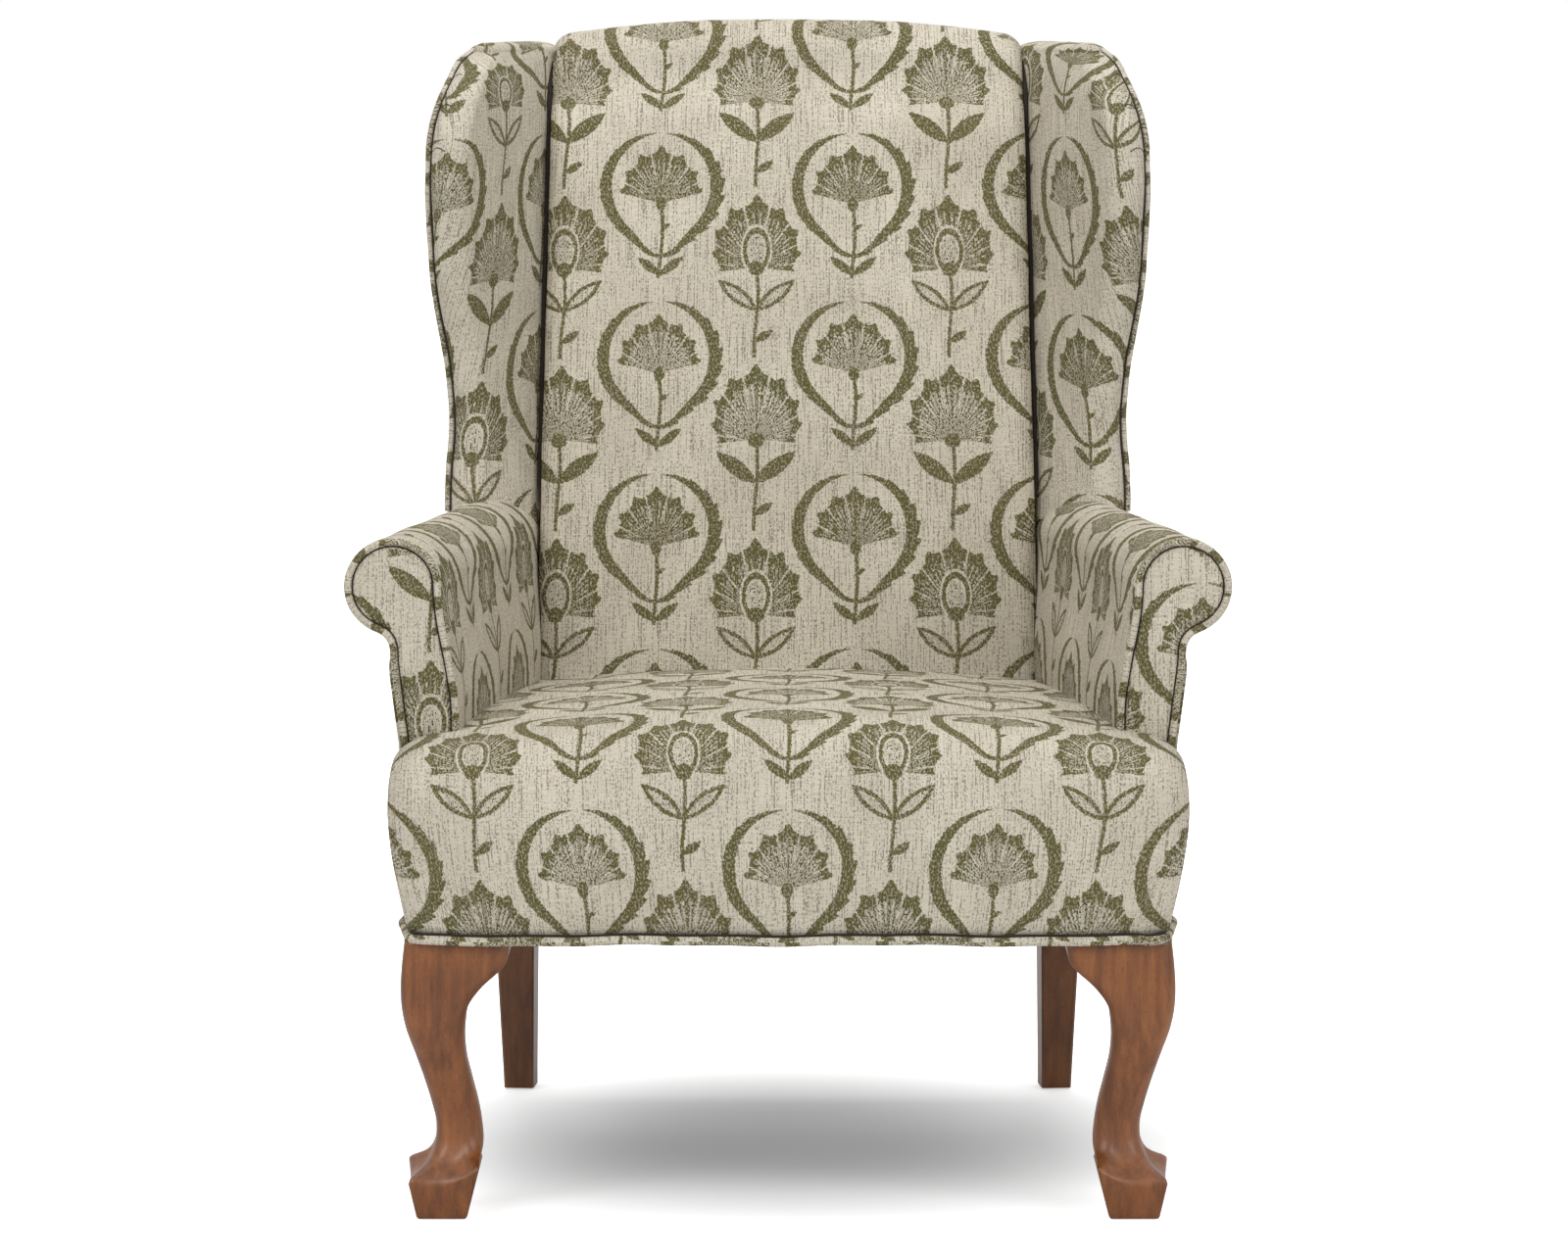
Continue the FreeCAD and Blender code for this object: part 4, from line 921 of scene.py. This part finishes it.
def base_route(out):
    """The base line of the upholstery, rounded at its corners, at a distance out from the frame."""
    ear_x = seat_half_width - 25.5 + out
    side_front = side_front_x + out - 3.0
    corners = [
        ((ear_x, seat_front_y - out - 2.0), 18.0), ((side_front, arm_front_y), 60.0),
        ((side_x(rear_bottom_y) + out, rear_bottom_y + out + 1.0), 8.0),
    ]
    corners += [((-p[0], p[1]), r) for p, r in corners[::-1]]
    points = []
    count = len(corners)
    for k, (corner, radius) in enumerate(corners):
        corner = np.array(corner)
        before = np.array(corners[k - 1][0]) - corner
        after = np.array(corners[(k + 1) % count][0]) - corner
        before /= np.linalg.norm(before)
        after /= np.linalg.norm(after)
        half = 0.5 * math.acos(np.dot(before, after))
        reach = radius / math.tan(half)
        middle = (before + after) / np.linalg.norm(before + after)
        centre = corner + middle * radius / math.sin(half)
        a, b = corner + before * reach - centre, corner + after * reach - centre
        for t in np.linspace(0.0, 1.0, 9):
            way = a * (1.0 - t) + b * t
            points.append(centre + way / np.linalg.norm(way) * radius)
    points.append(points[0])
    route = even(np.column_stack([np.array(points), np.full(len(points), frame_bottom)]), 500)[:-1]
    length = np.arange(len(route)) * 4.8
    route[:, 2] += 0.7 * np.sin(length / 31.0) + 0.4 * np.sin(length / 13.0)
    return route


def base_welt(material, shadow):
    route = base_route(base_welt_radius + 0.3)
    piece = tube_piece("base_piping", route, base_welt_radius, material, closed=True)
    dress(piece, "floral_welt", "base_welt")
    # A dark cord of painted shade along the seam above the base welt
    seam = base_route(2.2) + (0.0, 0.0, base_welt_radius + 0.5)
    dress(tube_piece("base_seam_shadow", seam, seam_shadow_radius + 0.3, shadow, closed=True, sides=8), "floral_welt")


def build_upholstery():
    fabric = cloth_material("floral_cloth")
    cord = cloth_material("welt_cloth", turned=True)
    # Near-black brown of the cords of painted shade in the seams, creases and pleats
    shadow = plain_material("seam_shadow", (44, 34, 24), (28, 21, 14), 3.0, 0.95)
    seat(fabric)
    back(fabric)
    outside_back(fabric)
    base_welt(cord, shadow)
    for side in (-1.0, 1.0):
        arm(side, fabric)
        facing(side, fabric)
        facing_welt(side, cord, shadow)
        wing(side, fabric)
        wing_outside(side, fabric)
        wing_welt(side, cord, shadow)
        crease_line(side, shadow)
        outside_panel(side, fabric)


# Cabriole front legs

def leg_loop(half, radius):
    """A rounded square about 0, 0, the same count of points for every size."""
    turn = np.linspace(0.0, 0.5 * math.pi, 9)
    arc = np.column_stack([half - radius + radius * np.cos(turn), half - radius + radius * np.sin(turn)])
    side = np.linspace(0.0, 1.0, 10)[1:-1]
    across = np.column_stack([(half - radius) * (1.0 - 2.0 * side), np.full(len(side), half)])
    quarter = np.concatenate([arc, across])
    loop = []
    for _ in range(4):
        loop.append(quarter)
        quarter = np.column_stack([-quarter[:, 1], quarter[:, 0]])
    return np.concatenate(loop)


def foot_line(half, loop):
    """Height of the shoulder above the foot block: low at the outer front, high at the inner sides."""
    inward = np.maximum(half - loop[:, 0], half + loop[:, 1]) / (2.0 * half)
    places, heights = zip(*foot_shoulder)
    return smooth_rows(list(zip(places, heights)), np.clip(inward, 0.0, 1.0))[:, 0]


def leg_points(outer, inner, radius, z):
    half, middle = 0.5 * (outer - inner), 0.5 * (outer + inner)
    loop = leg_loop(half, radius)
    return loop + (middle, -middle - leg_depth_shift), foot_line(half, loop), z


def block_points(z, plan_inner, plan_outer, share):
    """Plan of the foot block at the heights z, which taper to the floor."""
    climb = ((z - foot_low) / (foot_high - foot_low))[:, None]
    return plan_inner + climb * (plan_outer - plan_inner) * share


def front_leg(side, material):
    name = "right" if side > 0 else "left"
    top_loop, shoulder, _ = leg_points(*foot_top, 3.0, foot_high)
    low_loop, _, _ = leg_points(*foot_bottom, 3.0, foot_low)
    grid = []
    fall = np.linspace(0.0, 1.0, 64)
    for z in leg_top + (foot_high - leg_top) * fall:
        outer, inner, corner = smooth_rows(leg_profile[::-1], z)[0]
        plan, _, _ = leg_points(outer, inner, corner * (outer - inner), z)
        blend = float(np.clip((85.0 - z) / (85.0 - foot_high), 0.0, 1.0)) ** 2
        level = z + (shoulder - foot_high) * blend
        block = block_points(level, low_loop, top_loop, 1.0)
        last = blend**4
        plan = plan + last * (block - plan)
        grid.append(np.column_stack([plan, level]))
    middle = low_loop.mean(axis=0)
    for share in (0.03, 0.2, 0.5, 0.8, 0.93, 0.97, 1.0):
        level = shoulder + share * (foot_low - shoulder)
        plan = block_points(level, low_loop, top_loop, 1.0)
        plan = middle + (plan - middle) * (1.0 - 0.04 * max(0.0, (share - 0.93) / 0.07) ** 2)
        grid.append(np.column_stack([plan, level]))
    grid = np.array(grid) * (side, 1.0, 1.0)
    uvs = np.zeros((grid.shape[0], grid.shape[1] + 1, 2))
    piece = grid_piece("front_leg_shape_" + name, grid, uvs, material, closed=True, caps=True, flip=side > 0)
    return dress(piece, "stained_wood", "front_leg_" + name)


def finish_nodes():
    """Materials of the legs and of the nodes that keep their own shape."""
    walnut = wood_material("walnut_stain", (146, 88, 42), (98, 54, 23))
    # Painted shade: the rear legs take a darker copy of the walnut, standing for the shade they stand in
    shaded = wood_material("walnut_stain_rear_painted_shade", (118, 72, 36), (80, 45, 20))
    for side in (-1.0, 1.0):
        front_leg(side, walnut)
    beech = wood_material("frame_hardwood", (206, 176, 132), (178, 144, 100), gloss=0.6, coat=0.0)
    steel = plain_material("zinc_steel", (150, 150, 152), (120, 120, 124), 6.0, 0.38, 1.0, 0.0001)
    nylon = plain_material("glide_nylon", (60, 54, 48), (46, 42, 38), 4.0, 0.5, 0.0, 0.0001)
    webbing = plain_material("jute_web", (168, 140, 98), (142, 116, 78), 2.0, 0.9, 0.0, 0.0004)
    lining = plain_material("felt_lining", (176, 168, 150), (150, 142, 126), 3.0, 0.95, 0.0, 0.0006)
    cambric = plain_material("black_cambric", (30, 30, 31), (20, 20, 21), 1.2, 0.95, 0.0, 0.0003)
    by_slot = {
        "stained_wood": walnut, "frame_wood": beech, "fixing_steel": steel, "glide_nylon": nylon,
        "webbing": webbing, "lining": lining, "dust_cloth": cambric, "foam": lining,
        "floral_fabric": lining, "floral_welt": lining,
    }
    for row in frame["record"]["subparts"]:
        node = frame["nodes"][row["node"]]
        rear = row["node"].startswith("rear_leg")
        node.data.materials.clear()
        node.data.materials.append(shaded if rear else by_slot[row["material_slot"]])


def stage():
    """Pale floor, soft lights and the camera at the photograph's place."""
    mesh = bpy.data.meshes.new("floor")
    half = 30.0
    mesh.from_pydata([(-half, -half, 0), (half, -half, 0), (half, half, 0), (-half, half, 0)], [], [(0, 1, 2, 3)])
    floor = bpy.data.objects.new("floor", mesh)
    bpy.context.scene.collection.objects.link(floor)
    material, tree, shader = new_material("pale_floor")
    shader.inputs["Base Color"].default_value = (0.88, 0.88, 0.88, 1.0)
    shader.inputs["Roughness"].default_value = 0.9
    shader.inputs["Specular IOR Level"].default_value = 0.1
    glow = tree.nodes.new("ShaderNodeEmission")
    glow.inputs["Color"].default_value = (1.0, 1.0, 1.0, 1.0)
    rays = tree.nodes.new("ShaderNodeLightPath")
    place = tree.nodes.new("ShaderNodeTexCoord")
    parts = tree.nodes.new("ShaderNodeSeparateXYZ")
    tree.links.new(place.outputs["Object"], parts.inputs[0])
    # Painted shadow: the white camera glow is low near the chair and rises outward, darkening the floor about the
    # chair as a pool of shade
    away = hypot(Field(tree, parts.outputs[0]), Field(tree, parts.outputs[1]))
    seen = Field(tree, rays.outputs["Is Camera Ray"])
    far = away.ramp(0.10, 0.50)
    level = seen * (0.12 + 0.90 * (far * far))
    tree.links.new(level.socket, glow.inputs["Strength"])
    both = tree.nodes.new("ShaderNodeAddShader")
    tree.links.new(shader.outputs[0], both.inputs[0])
    tree.links.new(glow.outputs[0], both.inputs[1])
    tree.links.new(both.outputs[0], tree.nodes["Material Output"].inputs["Surface"])
    mesh.materials.append(material)

    world = bpy.data.worlds.new("studio")
    world.use_nodes = True
    bpy.context.scene.world = world
    tree = world.node_tree
    background = tree.nodes["Background"]
    rays = tree.nodes.new("ShaderNodeLightPath")
    seen = Field(tree, rays.outputs["Is Camera Ray"]).most(Field(tree, rays.outputs["Is Glossy Ray"]))
    strength = 0.34 + 0.66 * seen
    tree.links.new(strength.socket, background.inputs["Strength"])
    background.inputs["Color"].default_value = (1.0, 1.0, 1.0, 1.0)

    def panel(name, place, target, size, power):
        lamp = bpy.data.lights.new(name, "AREA")
        lamp.shape = "RECTANGLE"
        lamp.size, lamp.size_y = size
        lamp.energy = power
        holder = bpy.data.objects.new(name, lamp)
        holder.location = place
        aim = Vector(target) - Vector(place)
        holder.rotation_euler = aim.to_track_quat("-Z", "Y").to_euler()
        bpy.context.scene.collection.objects.link(holder)

    panel("key_panel", (-2.0, -3.2, 3.0), (0.0, 0.0, 0.55), (2.2, 2.2), 76.0)
    panel("fill_panel", (2.4, -3.0, 2.2), (0.0, 0.0, 0.5), (2.2, 2.2), 50.0)
    panel("top_panel", (0.0, 0.2, 3.4), (0.0, 0.0, 0.5), (2.6, 2.2), 50.0)
    panel("rear_panel", (0.0, 3.0, 2.4), (0.0, 0.0, 0.6), (2.2, 1.6), 25.0)

    lens = bpy.data.cameras.new("camera")
    lens.sensor_width = 36.0
    lens.lens = 149.47
    camera = bpy.data.objects.new("camera", lens)
    camera.location = (-0.0035, -5.887, 1.0843)
    camera.rotation_euler = (math.radians(90.0 - 5.9235), 0.0, 0.0)
    bpy.context.scene.collection.objects.link(camera)
    bpy.context.scene.camera = camera
    bpy.context.scene.view_settings.view_transform = "Standard"


def write_sizes():
    import json


build_upholstery()
finish_nodes()
stage()
write_sizes()
